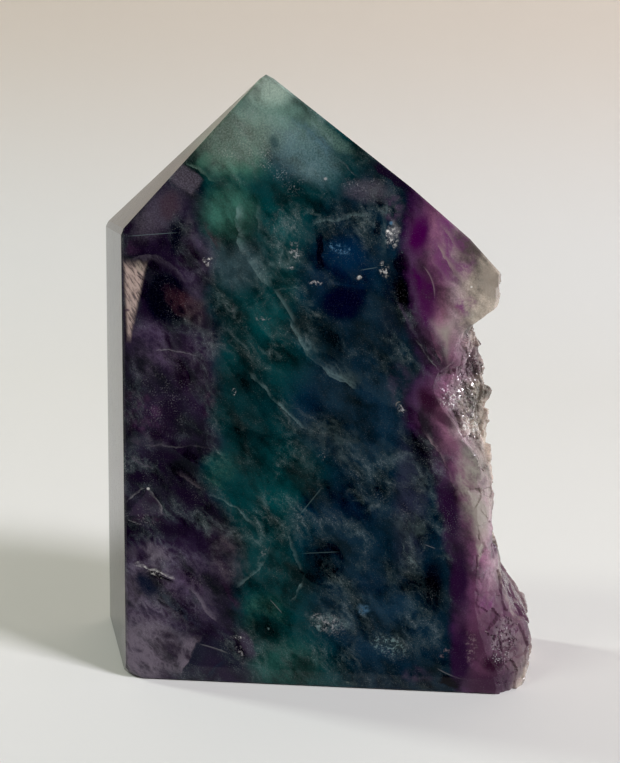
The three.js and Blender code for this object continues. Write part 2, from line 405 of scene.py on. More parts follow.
def bevel_between(first, second, depth):
    """The narrow polished bevel along the edge where two faces meet."""
    cosine = first.normal.dot(second.normal)
    scale = 1 / (1 - cosine * cosine)
    edge = first.normal * (first.reach - second.reach * cosine) * scale
    edge += second.normal * (second.reach - first.reach * cosine) * scale
    bevel = FlatFace(first.normal + second.normal, edge)
    bevel.reach -= depth
    return bevel


def rounded_corner(faces, radius):
    """The facets that take the sharpness off a corner, as flats on a ball that fits in it."""
    normals = Matrix([face.normal for face in faces])
    middle = normals.inverted() @ Vector([face.reach - radius for face in faces])
    flats = []
    for mix in KNOCKED_CORNER_FACETS:
        normal = (normals.transposed() @ Vector(mix)).normalized()
        flats.append(FlatFace(normal, middle + normal * radius))
    return flats


def polished_faces(edge_depth):
    """Every flat that is sawn and polished: the faces, their bevels and the knocked corner."""
    corner, apex, shoulder = (0, 0, 0), (APEX_X, 0, HEIGHT), (0, 0, SHOULDER_HEIGHT)
    back_corner = (-SIDE_FLARE, BASE_DEPTH, 0)
    back_shoulder = (-SIDE_FLARE * SHOULDER_DEPTH / BASE_DEPTH, SHOULDER_DEPTH, SHOULDER_HEIGHT)
    far_shoulder = (FAR_SHOULDER_X, SHOULDER_DEPTH, FAR_SHOULDER_HEIGHT)
    front = FlatFace((0, -1, 0), corner)
    base = FlatFace((0, 0, -1), corner)
    left = face_through(corner, shoulder, back_corner)
    back = face_through(back_corner, back_shoulder, (FAR_SHOULDER_X, BASE_DEPTH, 0))
    point_left = face_through(shoulder, apex, back_shoulder)
    point_back = face_through(back_shoulder, apex, far_shoulder)
    point_right = []
    for x, z, slope in RIGHT_FLATS:
        angle = math.radians(slope)
        point_right.append(FlatFace((math.sin(angle), 0, math.cos(angle)), (x, 0, z)))
    edges = [
        (front, left), (front, point_left), (front, base), (left, base), (back, base),
        (left, back), (left, point_left), (back, point_back), (point_left, point_back),
        (point_left, point_right[0]),
    ]
    for flat in point_right:
        edges += [(front, flat), (point_back, flat), (back, flat)]
    bevels = [bevel_between(a, b, edge_depth) for a, b in edges]
    corners = rounded_corner((front, left, base), KNOCKED_CORNER_RADIUS)
    return [front, base, left, back, point_left, point_back, *point_right, *bevels, *corners]


POLISHED, BROKEN = 0, 1


def new_object(name, data):
    """A new object, shown in the scene."""
    made = bpy.data.objects.new(name, data)
    bpy.context.collection.objects.link(made)
    return made


def mesh_object(form, name):
    """A bmesh as a new object."""
    mesh = bpy.data.meshes.new(name)
    form.to_mesh(mesh)
    form.free()
    return new_object(name, mesh)


def saw_off(blank, face):
    """Takes away everything that lies outside a face, and closes the cut with a flat."""
    geometry = blank.verts[:] + blank.edges[:] + blank.faces[:]
    cut = bmesh.ops.bisect_plane(
        blank, geom=geometry, dist=CUT_TOLERANCE, plane_co=face.normal * face.reach,
        plane_no=face.normal, clear_outer=True,
    )
    rim = [part for part in cut["geom_cut"] if isinstance(part, bmesh.types.BMEdge)]
    if rim:
        bmesh.ops.edgeloop_fill(blank, edges=rim, mat_nr=POLISHED)


def polished_blank(edge_depth):
    """The flat-sided form that the polished faces bound, running on past the broken side."""
    blank = bmesh.new()
    bmesh.ops.create_cube(blank, size=4 * HEIGHT)
    for face in polished_faces(edge_depth):
        saw_off(blank, face)
    bmesh.ops.recalc_face_normals(blank, faces=blank.faces[:])
    return mesh_object(blank, "polished_blank")


def rough_block(fine_reach):
    """The rough stone around the blank: a box whose right-hand side is the broken side."""
    rows = round((BROKEN_SIDE_TOP - BLOCK_BOTTOM) / ROW_SPACING)
    heights = np.append(np.linspace(BLOCK_BOTTOM, BROKEN_SIDE_TOP, rows), BLOCK_TOP)
    front = np.linspace(0, CREST_SHARE, FRONT_COLUMNS, endpoint=False)
    rear = np.linspace(CREST_SHARE, 1, REAR_COLUMNS)
    t, height = np.meshgrid(np.concatenate([front, rear]), heights)
    x, y, z = broken_side(t, height, fine_reach)
    x = np.minimum(x, CAD_HIGH.x / MM + FOOTPRINT_MIDDLE.x)

    block = bmesh.new()
    grid = [
        [block.verts.new(point) for point in zip(*row)]
        for row in zip(x.tolist(), y.tolist(), z.tolist())
    ]
    for low, high in zip(grid, grid[1:]):
        for c in range(len(low) - 1):
            face = block.faces.new((low[c], low[c + 1], high[c + 1], high[c]))
            face.material_index = BROKEN
    low_front, high_front, high_back, low_back = (
        block.verts.new((BLOCK_LEFT, depth, level))
        for depth, level in (
            (-GROUND_OFF_FRONT, BLOCK_BOTTOM), (-GROUND_OFF_FRONT, BLOCK_TOP),
            (BLOCK_BACK, BLOCK_TOP), (BLOCK_BACK, BLOCK_BOTTOM),
        )
    )
    front_edge = [row[0] for row in grid]
    back_edge = [row[-1] for row in grid]
    block.faces.new([low_front, *front_edge, high_front])
    block.faces.new([high_back, *reversed(back_edge), low_back])
    block.faces.new([low_front, low_back, *reversed(grid[0])])
    block.faces.new([high_front, *grid[-1], high_back])
    block.faces.new([low_front, high_front, high_back, low_back])
    bmesh.ops.triangulate(block, faces=block.faces[:])
    return mesh_object(block, "rough_block")


def cut_stone(settings, name):
    """The polished blank where it lies within the rough block, in the part's frame."""
    blank = polished_blank(settings.polished_edge)
    block = rough_block(settings.fine_steps)
    for tool in (blank, block):
        for finish in ("polished", "broken"):
            tool.data.materials.append(bpy.data.materials.new(finish))
    cut = blank.modifiers.new("break", "BOOLEAN")
    cut.operation, cut.solver, cut.object = "INTERSECT", "EXACT", block
    stone = bmesh.new()
    stone.from_mesh(blank.evaluated_get(bpy.context.evaluated_depsgraph_get()).data)
    bpy.data.objects.remove(blank)
    bpy.data.objects.remove(block)
    bmesh.ops.triangulate(stone, faces=[face for face in stone.faces if len(face.verts) > 4])
    stone.transform(Matrix.Scale(MM, 4) @ Matrix.Translation(-FOOTPRINT_MIDDLE))
    for face in stone.faces:
        face.smooth = face.material_index == BROKEN
    for edge in stone.edges:
        split = len({face.material_index for face in edge.link_faces}) > 1
        edge.smooth = not split and edge.calc_face_angle(0) < SHARP_EDGE
    return mesh_object(stone, name)


# ----------------------------------------------------------------------------- node helpers


def add_node(tree, kind, inputs=(), **settings):
    """A node with its settings and inputs, where an input is a value or another node's socket."""
    made = tree.nodes.new(kind)
    for name, value in settings.items():
        setattr(made, name, value)
    for key, value in dict(inputs).items():
        if isinstance(value, bpy.types.NodeSocket):
            tree.links.new(value, made.inputs[key])
        else:
            made.inputs[key].default_value = value
    return made


def maths(tree, operation, *values):
    node = add_node(tree, "ShaderNodeMath", dict(enumerate(values)), operation=operation)
    return node.outputs[0]


def vector_maths(tree, operation, *values):
    node = add_node(tree, "ShaderNodeVectorMath", dict(enumerate(values)), operation=operation)
    return node.outputs[0]


def share_along(tree, point, way):
    """How far the point lies along a way."""
    node = add_node(tree, "ShaderNodeVectorMath", {0: point, 1: way}, operation="DOT_PRODUCT")
    return node.outputs["Value"]


def ramp(tree, value, low, high, to_low=0.0, to_high=1.0):
    """A smooth step from to_low to to_high as the value goes from low to high."""
    inputs = {
        "Value": value, "From Min": low, "From Max": high, "To Min": to_low, "To Max": to_high,
    }
    node = add_node(
        tree, "ShaderNodeMapRange", inputs, interpolation_type="SMOOTHSTEP", clamp=False
    )
    return node.outputs["Result"]


def mix_colours(tree, share, under, over):
    """One colour laid over another. The Mix node's colour sockets go by number."""
    inputs = {0: share, 6: under, 7: over}
    return add_node(tree, "ShaderNodeMix", inputs, data_type="RGBA").outputs[2]


def cloud(tree, point, width, detail=2.0, roughness=0.5, **settings):
    """A noise whose clouds are about this wide, in the units of the point."""
    inputs = {"Vector": point, "Scale": 1 / width, "Detail": detail, "Roughness": roughness}
    return add_node(tree, "ShaderNodeTexNoise", inputs, **settings)


def new_group(name, inputs, outputs):
    """A shader node group with named sockets, each given as label: (kind, default)."""
    group = bpy.data.node_groups.new(name, "ShaderNodeTree")
    for label, (kind, default) in inputs.items():
        socket = group.interface.new_socket(label, in_out="INPUT", socket_type="NodeSocket" + kind)
        socket.default_value = default
    for label, kind in outputs.items():
        group.interface.new_socket(label, in_out="OUTPUT", socket_type="NodeSocket" + kind)
    given = group.nodes.new("NodeGroupInput").outputs
    return group, given, group.nodes.new("NodeGroupOutput").inputs


WHITE = (1.0, 1.0, 1.0, 1.0)
NOWHERE = (0.0, 0.0, 0.0)
PLACED = {
    "Colour": ("Color", WHITE),
    "Point": ("Vector", NOWHERE),
    "Middle": ("Vector", NOWHERE),
    "Across": ("Vector", NOWHERE),
    "Up": ("Vector", NOWHERE),
    "Core": ("Float", 0.5),
    "Strength": ("Float", 1.0),
    "Tint": ("Color", WHITE),
    "Breakup": ("Float", 1.0),
}


def placed(tree, given):
    """How far the point lies across and up a placed feature, whose reach is 1 each way."""
    away = vector_maths(tree, "SUBTRACT", given["Point"], given["Middle"])
    for axis in ("Across", "Up"):
        yield share_along(tree, away, given[axis])


def lay_tint(tree, given, result, mask):
    """Lays the feature's tint over the colour. Squaring its share keeps faint haze dark."""
    share = maths(tree, "MULTIPLY", mask, given["Breakup"])
    share = maths(tree, "MULTIPLY", share, share)
    tree.links.new(mix_colours(tree, share, given["Colour"], given["Tint"]), result["Colour"])


def stain_group():
    """A soft oval stain, solid inside its core."""
    group, given, result = new_group("Soft stain", PLACED, {"Colour": "Color"})
    across, up = placed(group, given)
    away = maths(group, "MULTIPLY_ADD", up, up, maths(group, "MULTIPLY", across, across))
    lay_tint(group, given, result, ramp(group, away, 1.0, given["Core"], 0.0, given["Strength"]))
    return group


def veil_group():
    """A bent sheet of healed crack, crisp along one side, that thins out sideways and endways."""
    group, given, result = new_group(
        "Crack veil", {**PLACED, "Bend": ("Float", 0.0)}, {"Colour": "Color"}
    )
    across, up = placed(group, given)
    run = maths(group, "MULTIPLY", across, across)
    arch = maths(group, "SUBTRACT", 1.0, run)
    off_line = maths(group, "MULTIPLY_ADD", arch, given["Bend"], up)
    crisp = ramp(group, off_line, maths(group, "MULTIPLY", given["Core"], -1.0), 0.0)
    dense = maths(group, "MULTIPLY", crisp, ramp(group, off_line, 1.0, 0.0, 0.0, given["Strength"]))
    lay_tint(group, given, result, maths(group, "MULTIPLY", dense, ramp(group, run, 1.0, 0.2)))
    return group


def pane_group():
    """A flat inner pane with straight edges; a taper of 1 brings its upper side to a point."""
    group, given, result = new_group(
        "Inner pane", {**PLACED, "Taper": ("Float", 0.0)}, {"Colour": "Color"}
    )
    across, up = placed(group, given)
    rise = maths(group, "MULTIPLY_ADD", up, 0.5, 0.5)
    width = maths(group, "SUBTRACT", 1.0, maths(group, "MULTIPLY", rise, given["Taper"]))
    sideways = maths(group, "SUBTRACT", width, maths(group, "ABSOLUTE", across))
    upward = maths(group, "SUBTRACT", 1.0, maths(group, "ABSOLUTE", up))
    inside = maths(group, "MINIMUM", sideways, upward)
    lay_tint(group, given, result, ramp(group, inside, 0.0, given["Core"], 0.0, given["Strength"]))
    return group


# ----------------------------------------------------------- colours inside the stone, in mm

# What breaks a feature up: nothing, soft clouds, leaning streaks or mist, or else fine grains or
# coarse flecks. What lies just under the front has nothing again or combed fur.
EVEN, CLOUDS, STREAKS, MIST = "Even", "Clouds", "Streaks", "Mist"
GRAINS, FLECKS = "Grains", "Flecks"
FRONT, FUR = "Front", "Fur"

# Where the colour bands meet, as x over the height. Each station is (height, x).
PURPLE_EDGE = (
    (-4, 26.5), (6, 26), (12, 23.5), (20, 22.5), (28, 22.5), (34, 21), (40, 17.5), (45, 15),
    (50, 19.3), (55, 17.5), (60, 18.5), (66, 18), (72, 18.3), (78, 16.5), (86, 17.5), (92, 16.5),
    (98, 15.5), (102, 12.5), (106, 5), (122, 1),
)
GREEN_EDGE = (
    (-4, 46), (8, 41), (16, 36), (24, 36), (32, 36.5), (40, 37), (46, 38), (52, 33), (58, 31),
    (64, 33), (70, 36), (82, 35), (94, 36), (100, 40), (108, 50), (122, 60),
)
VIOLET_EDGE = (
    (-4, 68.5), (8, 67.3), (14, 66.8), (26, 66.3), (31, 65), (36, 64), (41, 63), (46, 61.3),
    (50, 59.6), (54, 57.2), (57, 56), (62, 56.5), (66, 58.6), (69, 57.6), (72, 56.6), (76, 55.4),
    (82, 55), (88, 54), (93, 54), (97, 55), (101, 54.5), (122, 54),
)

# How far right of its edge each band begins to show, and where it is whole.
PURPLE_FADE = (2.8, -2.2)
GREEN_FADE = (6.0, -4.0)
VIOLET_FADE = (-2.6, -0.4)

# The colours across the violet side: how far right of its edge each one lies, and the range of
# the ramp that holds them.
# Towards the thin rim the colours grow paler: the stone's own colours, with painted light shining
# through the thin stone in the pale last stops.
VIOLET_SIDE = (
    (-3, "navy"), (-0.8, "dark_violet"), (1.0, "plum"), (3.2, "mauve_dark"), (5.6, "mauve"),
    (8.2, "lilac"), (11.5, "tan"),
)
SIDE_START = -3
SIDE_REACH = 16

# The curves that hold the edges start this far under the base, and are this tall and wide.
CURVE_DROP, CURVE_TALL, CURVE_WIDE = 5, 130.0, 100.0

# The noises that the stone's fields come from: width, detail and roughness.
NOISES = {
    "smoke": (6.5, 7.0, 0.6),
    "clouds": (2.2, 6.0, 0.68),
    "ridges": (7.0, 6.0, 0.7),
    "patches": (13.0, 2.0, 0.5),
    "folds": (17.0, 2.0, 0.45),
    "crowds of grains": (2.6, 3.0, 0.65),
    "flecks": (0.8, 4.0, 0.75),
    "combed fur": (0.5, 4.0, 0.7),
    "grit": (0.34, 3.0, 0.75),
    "grains": (0.3, 1.0, 0.5),
    "specks": (0.22, 1.0, 0.5),
}

# How the point is moved about, one after the other: width of the clouds, reach and detail. The
# first is the drift, whose reach is given for each millimetre behind the front.
DRIFT = (24.0, 0.9, 1.0)
CURL = (7.0, 3.0, 3.0)
SWING = (4.0, 1.8, 4.0)
FRAY = (1.5, 1.0, 3.0)

# How the smoke, the folds and the fur lean, in degrees, and how much longer than wide they are.
SMOKE_LEAN = (-52, 1.7)
FOLDS_LEAN = (-48, 2.2)
FUR_LEAN = (-60, 5.0)
FOLDS_COUNT = 6.0

# What is spread through the whole stone, under and over the features: how densely, and its colour.
SPREAD_UNDER = {"Sheets": (0.02, "milk"), "Wisps": (0.17, "milk"), "Threads": (0.3, "bone")}
SPREAD_OVER = {"Specks": (0.48, "bone")}

# The last step, which deepens the darks: what the colour is multiplied by, and what is added.
DEEPENING = (1.14, -0.0036)


def feature(kind, name, middle, reach, tint, strength, turn, core, breakup, **extra):
    """A placed feature: its kind, name, tint and breakup, and the inputs of its node.

    Its middle and reach are in x and z, and its turn in degrees, anticlockwise from the front.
    """
    lean = math.radians(turn)
    return kind, name, tint, breakup, {
        "Middle": (middle[0], 0, middle[1]),
        "Across": (math.cos(lean) / reach[0], 0, math.sin(lean) / reach[0]),
        "Up": (-math.sin(lean) / reach[1], 0, math.cos(lean) / reach[1]),
        "Core": core, "Strength": strength, **extra,
    }


def stain(name, middle, reach, tint, strength, breakup=EVEN, turn=0, softness=0.8):
    """An oval stain, which fades over this share of its reach."""
    core = (1 - softness) ** 2
    return feature("Soft stain", name, middle, reach, tint, strength, turn, core, breakup)


def veil(name, start, end, width, tint, strength, breakup=STREAKS, bend=0.0, softness=0.1):
    """A veil from start to end, crisp along that line, that thins out to the left of that way.

    A negative width makes it thin out to the right. A positive bend bows it, in mm, to the left.
    """
    start, end = Vector(start), Vector(end)
    run = end - start
    turn = math.degrees(math.atan2(run.y, run.x))
    return feature(
        "Crack veil", name, (start + end) / 2, (run.length / 2, width), tint, strength, turn,
        softness, breakup, Bend=-bend / width,
    )


def pane(name, middle, reach, tint, strength, breakup=EVEN, turn=0, taper=0.0, softness=0.1):
    """A pane that narrows upwards by its taper."""
    return feature(
        "Inner pane", name, middle, reach, tint, strength, turn, softness, breakup, Taper=taper
    )


# The broad colours of the bands. A stain or a pane gives its name, middle, reach, tint and
# strength, and a veil its name, start, end, width, tint and strength. Places are x and z.
BANDS = (
    stain("dark green of the middle", (25, 58), (9, 12), "bottle_green", 0.9),
    stain("green of the upper band", (23, 93), (12, 12), "sea_green", 0.8),
    stain("leaf of the upper band", (20.5, 94.5), (8, 8), "leaf_green", 0.76),
    stain("haze of the upper band", (22, 85), (8, 8), "haze_grey", 0.34),
    stain("gloom beside the window", (36, 74), (7, 9), "deep_blue", 0.62),
    stain("gloom of the lower band", (36.5, 33), (6, 12), "deep_blue", 0.62),
    stain("dusk of the right", (56.5, 42), (5, 26), "slate_violet", 0.4),
    stain("dusk by the side, upper", (52, 78), (4, 12), "navy", 0.9),
    stain("bright teal", (29, 92), (5, 6), "teal_green", 0.9, CLOUDS),
    stain("bright teal, lower", (28, 75), (6, 5), "teal_green", 0.6),
    stain("bright teal, foot of the band", (30, 41), (8, 6), "teal_green", 0.55),
    stain("pale lobe of the green", (19, 45.5), (6, 5), "leaf_green", 0.4, STREAKS),
    stain("green of the foot", (32, 4), (11, 9), "leaf_green", 0.5),
    stain("leaf green of the point", (21, 106), (12, 8), "leaf_green", 0.95),
    stain("blue green of the point", (35, 104), (13, 9), "sea_green", 0.9),
    stain("grey green of the point", (28, 112), (14, 9), "mist_green", 0.7),
    stain("pale tip", (27.5, 119), (10, 7), "pale_green", 0.75, softness=0.95),
    stain("blue window", (42, 84), (9, 12), "deep_blue", 0.95),
    stain("dark blue of the middle", (43, 38), (12, 6), "deep_blue", 0.75),
    stain("slate of the middle", (47, 57), (12, 13), "slate_blue", 0.45),
    stain("slate blue foot", (50, 15), (13, 12), "slate_blue", 0.7),
    stain("violet haze of the left foot", (9, 20), (14, 14), "slate_violet", 0.8, STREAKS),
    stain("haze of the left foot", (4.5, 17), (8.5, 13), "haze_violet", 0.55, STREAKS),
    stain("gloom over the crystal", (6, 41), (9, 5), "purple_black", 0.7),
    stain("haze of the green foot", (28, 15), (7, 6.5), "leaf_green", 0.56, STREAKS),
    stain("depth beside the window", (36, 83), (4.5, 9), "deep_blue", 0.7),
    stain("depth of the middle", (36, 57.5), (5, 7), "deep_blue", 0.6),
    stain("brown haze", (20.5, 28), (5.5, 11), "haze_brown", 0.6, STREAKS, turn=14),
    stain("grey shoulder", (14, 84), (5, 11), "slate_violet", 0.65, STREAKS, turn=-8),
    stain("grey banks", (18.5, 72), (4, 9), "haze_brown", 0.45, STREAKS, turn=10),
    stain("lilac clouds", (5, 68), (8, 8), "slate_violet", 0.8, STREAKS),
    stain("plum haze of the left side", (13, 66), (6, 9), "plum", 0.66, STREAKS, turn=15),
    stain("plum of the left middle", (4, 55), (8, 6), "plum", 0.8, CLOUDS),
)

# What lies over the bands and the violet side, from the lowest to the uppermost.
FEATURES = (
    # The left side, from the top.
    stain("dusty shoulder", (4.5, 93), (5, 3), "haze_grey", 0.5, CLOUDS, turn=45),
    stain("dust of the shoulder", (7, 94), (9, 4.4), "haze_grey", 0.66, MIST, turn=45),
    pane("grey patch under the edge", (12, 100.6), (3.6, 2.4), "haze_grey", 0.8, MIST, softness=0.4,
         turn=-38),
    stain("maroon spot", (9.2, 95.6), (2.6, 4.0), "maroon", 0.62, turn=-12),
    stain("black under the maroon", (10.4, 89.5), (1.7, 4.2), "navy", 0.9),
    stain("black corner", (1.2, 91.2), (2.2, 1.4), "purple_black", 0.95, turn=40),
    stain("violet corner", (1.8, 87.6), (2.8, 1.8), "plum", 0.8, CLOUDS),
    stain("grey of the upper left", (13.3, 90.5), (1.9, 5.5), "haze_grey", 0.5, CLOUDS),
    veil("wine streak", (15.2, 93.5), (18.5, 86.5), 2.2, "maroon", 0.7),
    veil("arc over the dark hollow", (0.3, 85.3), (13.2, 80.5), -2.4, "haze_grey", 0.75, bend=3.2),
    stain("dark hollow", (8.6, 78), (5.4, 6.6), "navy", 0.97, turn=14, softness=0.45),
    stain("rust haze", (12, 77), (7, 3.2), "maroon", 0.8, STREAKS, turn=-38),
    stain("brown haze beside the hollow", (14.5, 75), (4.5, 4.5), "haze_brown", 0.5, STREAKS,
          turn=-30),
    veil("grey seam of the left side", (5, 67.6), (15.5, 66.6), 0.5, "bone", 0.46, bend=1.0),
    stain("dark cloud, lower", (9.5, 56.5), (3.2, 4), "purple_black", 0.9),
    stain("plum patch", (3, 59), (3.6, 1.9), "wine", 0.6, CLOUDS, turn=-10),
    stain("plum spot at the green", (16.9, 58), (1.7, 4.6), "wine", 0.65, CLOUDS, turn=-8),
    stain("grains over the purple", (8, 58), (10, 13), "bone", 0.42, GRAINS, turn=-12),
    stain("grains of the left foot", (10, 20), (11, 10), "bone", 0.36, GRAINS, turn=-40),
    stain("grey veil at the seam", (5, 50), (5.5, 1.6), "haze_grey", 0.5, CLOUDS, turn=-8),
    veil("level seam", (3, 48.9), (19, 49.0), 0.5, "bone", 0.46, bend=0.25),
    stain("dark under the seam", (8, 47.2), (5, 1.6), "purple_black", 0.9, turn=-4),
    stain("speckled wedge", (4.6, 46.2), (4.4, 1.1), "bone", 0.55, GRAINS, turn=-12),
    veil("wedge's lower edge", (0.8, 47.5), (6.4, 44.4), 0.8, "haze_grey", 0.7, bend=-0.7),
    stain("black band over the crystal", (3.5, 42.6), (5, 1.8), "purple_black", 0.95),
    pane("crystal face", (4.7, 37.6), (4.4, 2.9), "slate_violet", 0.55, taper=1.0, softness=0.15),
    veil("crystal's left edge", (0.3, 37.0), (4.8, 40.3), 0.7, "bone", 0.5, STREAKS, bend=0.5),
    veil("crystal's right edge", (4.9, 40.4), (8.1, 34.8), -0.9, "bone", 0.62, STREAKS, bend=0.2),
    stain("crystal's bright tip", (4.8, 40.4), (0.45, 0.4), "fleck_and_glint_white", 0.8, FRONT),
    stain("wine sparkle under it", (4.6, 34), (5.2, 1.6), "wine", 0.6, CLOUDS, turn=-8),
    stain("sparkle under it", (4, 34.5), (5.4, 2.4), "bone", 0.7, GRAINS, turn=-10),
    veil("pale rim of the sparkle", (0.3, 34.6), (4.2, 32.8), 0.35, "bone", 0.67, CLOUDS,
         bend=-0.3),
    stain("brown hollow", (13, 38.8), (4.4, 3.0), "purple_black", 0.95, turn=-35),
    stain("grains above the hollow", (12.6, 42.6), (3.2, 0.8), "tan", 0.6, GRAINS, turn=-40),
    veil("rim above the hollow", (9.8, 43.9), (15.8, 40.2), 1.2, "haze_brown", 0.75),
    stain("dark under the crystal", (9, 32.2), (5.5, 1.8), "purple_black", 0.9, turn=-8),
    stain("lilac haze over the ledge", (6.5, 27.2), (5, 2.6), "haze_violet", 0.75, STREAKS,
          turn=-12),
    stain("pale corner above the ledge", (1.4, 27), (1.9, 2.4), "haze_grey", 0.45),
    stain("grey slope over the ledge", (7.5, 24.2), (4, 1.3), "haze_grey", 0.75, CLOUDS, turn=-18),
    stain("blue gloom under the ledge", (4.2, 20), (2.6, 4.6), "deep_blue", 0.85, turn=30),
    veil("black gap under the ledge", (3.9, 24.1), (11.0, 21.1), -1.5, "black", 0.98, FRONT,
         bend=-0.3, softness=0.06),
    stain("crumbs in the gap", (6.3, 22.5), (2.8, 0.6), "fleck_and_glint_white", 0.75, FLECKS, turn=-22),
    veil("white ledge", (0.9, 24.5), (11.4, 21.2), 0.9, "fleck_and_glint_white", 0.85, CLOUDS, bend=0.35),
    stain("crumb on the ledge", (2.6, 24.8), (0.9, 0.4), "fleck_and_glint_white", 0.75, CLOUDS),
    veil("edge of the milky foot", (10.8, 0.2), (15.8, 10.4), 8.0, "haze_violet", 0.97,
         softness=0.05),
    stain("milky foot", (4, 6), (10.5, 10.5), "haze_violet", 1.0, STREAKS, softness=0.95, turn=-15),
    stain("mist of the milky foot", (3.5, 7), (9, 11), "haze_grey", 0.5, MIST),
    veil("dark pane of the foot", (10.9, 0.2), (15.9, 10.6), -6.0, "pane_blue", 0.9, EVEN,
         softness=0.05),
    veil("right side of the pane", (26.5, 1.0), (16.5, 11.4), 5.0, "pane_blue", 0.9, EVEN,
         softness=0.06),
    veil("pale line across the pane", (14.4, 8.4), (21.5, 6.3), -0.5, "bone", 0.46, FRONT,
         bend=0.2),
    veil("blue face of the pane", (16.2, 1.2), (20.4, 5.6), -2.0, "slate_blue", 0.6, EVEN,
         softness=0.06),
    veil("grey veil of the foot", (12.0, 21.5), (21.4, 10.6), 3.2, "haze_grey", 0.9, bend=-0.6),
    veil("dark slope over the foot", (4.5, 20.5), (16.5, 10.5), 3.4, "slate_blue", 0.6, bend=-0.4),
    veil("plum fold beside it", (18.6, 22.5), (24.6, 12.6), 2.2, "plum", 0.7),
    veil("seam of the hollow", (15.4, 40.2), (26.2, 33.2), 0.8, "milk", 0.49, bend=0.9),
    veil("fold in the brown", (16.5, 33.4), (24, 23.5), 1.6, "haze_brown", 0.7, bend=0.8),
    stain("grains in the brown", (20.5, 24.5), (3.5, 2.6), "bone", 0.45, GRAINS),
    stain("white grains of the foot", (22.6, 9.7), (1.9, 0.8), "fleck_and_glint_white", 0.85, FLECKS),
    stain("veil of the foot", (23.4, 6.6), (1.2, 3.2), "bone", 0.6, FLECKS, turn=24),
    stain("violet fold of the foot", (24.6, 8.5), (1.7, 5), "slate_violet", 0.75, turn=25),
    # The green band, from the point down.
    stain("green edge of the point", (15.8, 104), (3, 2), "leaf_green", 0.9, turn=40),
    stain("dark greens", (22, 100.8), (2.4, 1.8), "teal_green", 0.85, CLOUDS),
    veil("blue of the point", (30.5, 113.5), (40.5, 104.5), 2.6, "slate_sky", 0.8, bend=0.3,
         softness=0.6),
    stain("blue haze of the point", (34, 105), (12, 8), "slate_sky", 0.62, STREAKS, turn=-25),
    stain("mist of the point", (22, 108.5), (12, 8), "pale_green", 0.66, MIST, turn=15),
    stain("mist of the point, right", (34, 106), (11, 6.5), "milk", 0.58, MIST, turn=-30),
    stain("dark eye of the point", (28.6, 107.6), (1.7, 2.1), "teal", 0.8),
    stain("grains of the point", (21.5, 107), (9, 6), "fleck_and_glint_white", 0.42, GRAINS),
    stain("haze of the grains", (22, 108), (8, 5), "mist_green", 0.6, CLOUDS),
    stain("grains under the eye", (27.5, 104), (4.6, 2.8), "bone", 0.65, GRAINS, turn=-30),
    stain("grains around it", (31.5, 100.8), (4.2, 3.6), "bone", 0.62, GRAINS, turn=-40),
    stain("grey bank", (35, 102.4), (2.4, 2.2), "milk", 0.38, CLOUDS),
    stain("bead in the blue", (38.3, 101.2), (0.45, 0.4), "bone", 0.8, FRONT),
    veil("edge of the leaf green", (11.3, 103.5), (18.5, 99.4), 1.0, "mist_green", 0.8, bend=0.2),
    veil("curved veil", (22.6, 97.5), (23.4, 86.4), 2.4, "milk", 0.62, bend=-1.3),
    veil("second curved veil", (25.6, 97.5), (27.6, 86.6), 1.8, "milk", 0.34, bend=-0.7),
    stain("white star", (16.3, 85.5), (1.6, 1.1), "fleck_and_glint_white", 0.95, FLECKS),
    stain("white star's middle", (16.0, 85.4), (0.5, 0.4), "fleck_and_glint_white", 0.85, CLOUDS),
    stain("milky patch", (26.8, 84.3), (4, 3.6), "milk", 0.36, CLOUDS, turn=-40),
    veil("long veil, top", (23.2, 86.8), (29.4, 79.8), 1.9, "milk", 0.44, bend=-0.5),
    veil("long veil, upper", (28.4, 81.0), (33.4, 73.2), 1.3, "milk", 0.42, FRONT, bend=0.3),
    veil("long veil, bend", (31.8, 75.6), (36.6, 66.8), 1.6, "milk", 0.54, bend=-0.5),
    veil("long veil, lower", (34.2, 69.6), (46.5, 61.2), 1.6, "milk", 0.56, bend=-1.0),
    veil("long veil, fan", (33.5, 72), (47, 62), 4.5, "milk", 0.42, bend=-1.6),
    veil("upper cross veil", (28.3, 80.2), (35.4, 81.2), 0.6, "milk", 0.39, bend=-0.2),
    stain("flecks by the star", (32.8, 87.6), (1.7, 2.4), "bone", 0.75, FLECKS, turn=-15),
    stain("haze of these flecks", (31.4, 86.2), (3.4, 2.8), "milk", 0.34, CLOUDS),
    stain("white fleck", (32.3, 84.5), (0.8, 0.6), "bone", 0.8, FLECKS),
    veil("green arch", (20.6, 74.6), (29.2, 78.6), -0.8, "sea_green", 0.85, bend=1.4),
    veil("edge of the grey bank", (20.6, 82.5), (20.6, 74.8), 1.0, "haze_brown", 0.5, bend=0.5),
    stain("flecks in the green", (27.2, 74.7), (1.9, 0.7), "bone", 0.6, FLECKS),
    veil("falling veil", (22.5, 66.3), (37, 52.2), 1.3, "milk", 0.58, bend=-0.4),
    stain("fleck at the plum", (21.7, 60.4), (0.7, 1.0), "bone", 0.85, FLECKS),
    veil("edge of the pale lobe", (15.2, 44.0), (20.8, 40.0), 1.4, "leaf_green", 0.45),
    veil("leaning line", (34, 35.2), (39.6, 42.8), -0.35, "milk", 0.42, FRONT),
    veil("level line", (34.5, 28.1), (43.5, 28.9), 0.3, "milk", 0.42, FRONT),
    veil("falling seam", (32.2, 34), (36.3, 23), 1.2, "milk", 0.39, bend=-0.7),
    veil("falling seam, lower", (36, 24.5), (33, 17.8), 0.8, "milk", 0.55, bend=0.5),
    veil("white dash", (28.9, 18.6), (31.9, 15.2), 0.3, "bone", 0.5, FRONT),
    stain("grains by the long seam", (27.8, 28.2), (1.9, 0.8), "bone", 0.6, FLECKS, turn=35),
    veil("seam up to the grains", (21.5, 19.5), (29.5, 29.4), 1.0, "milk", 0.41, bend=-0.8),
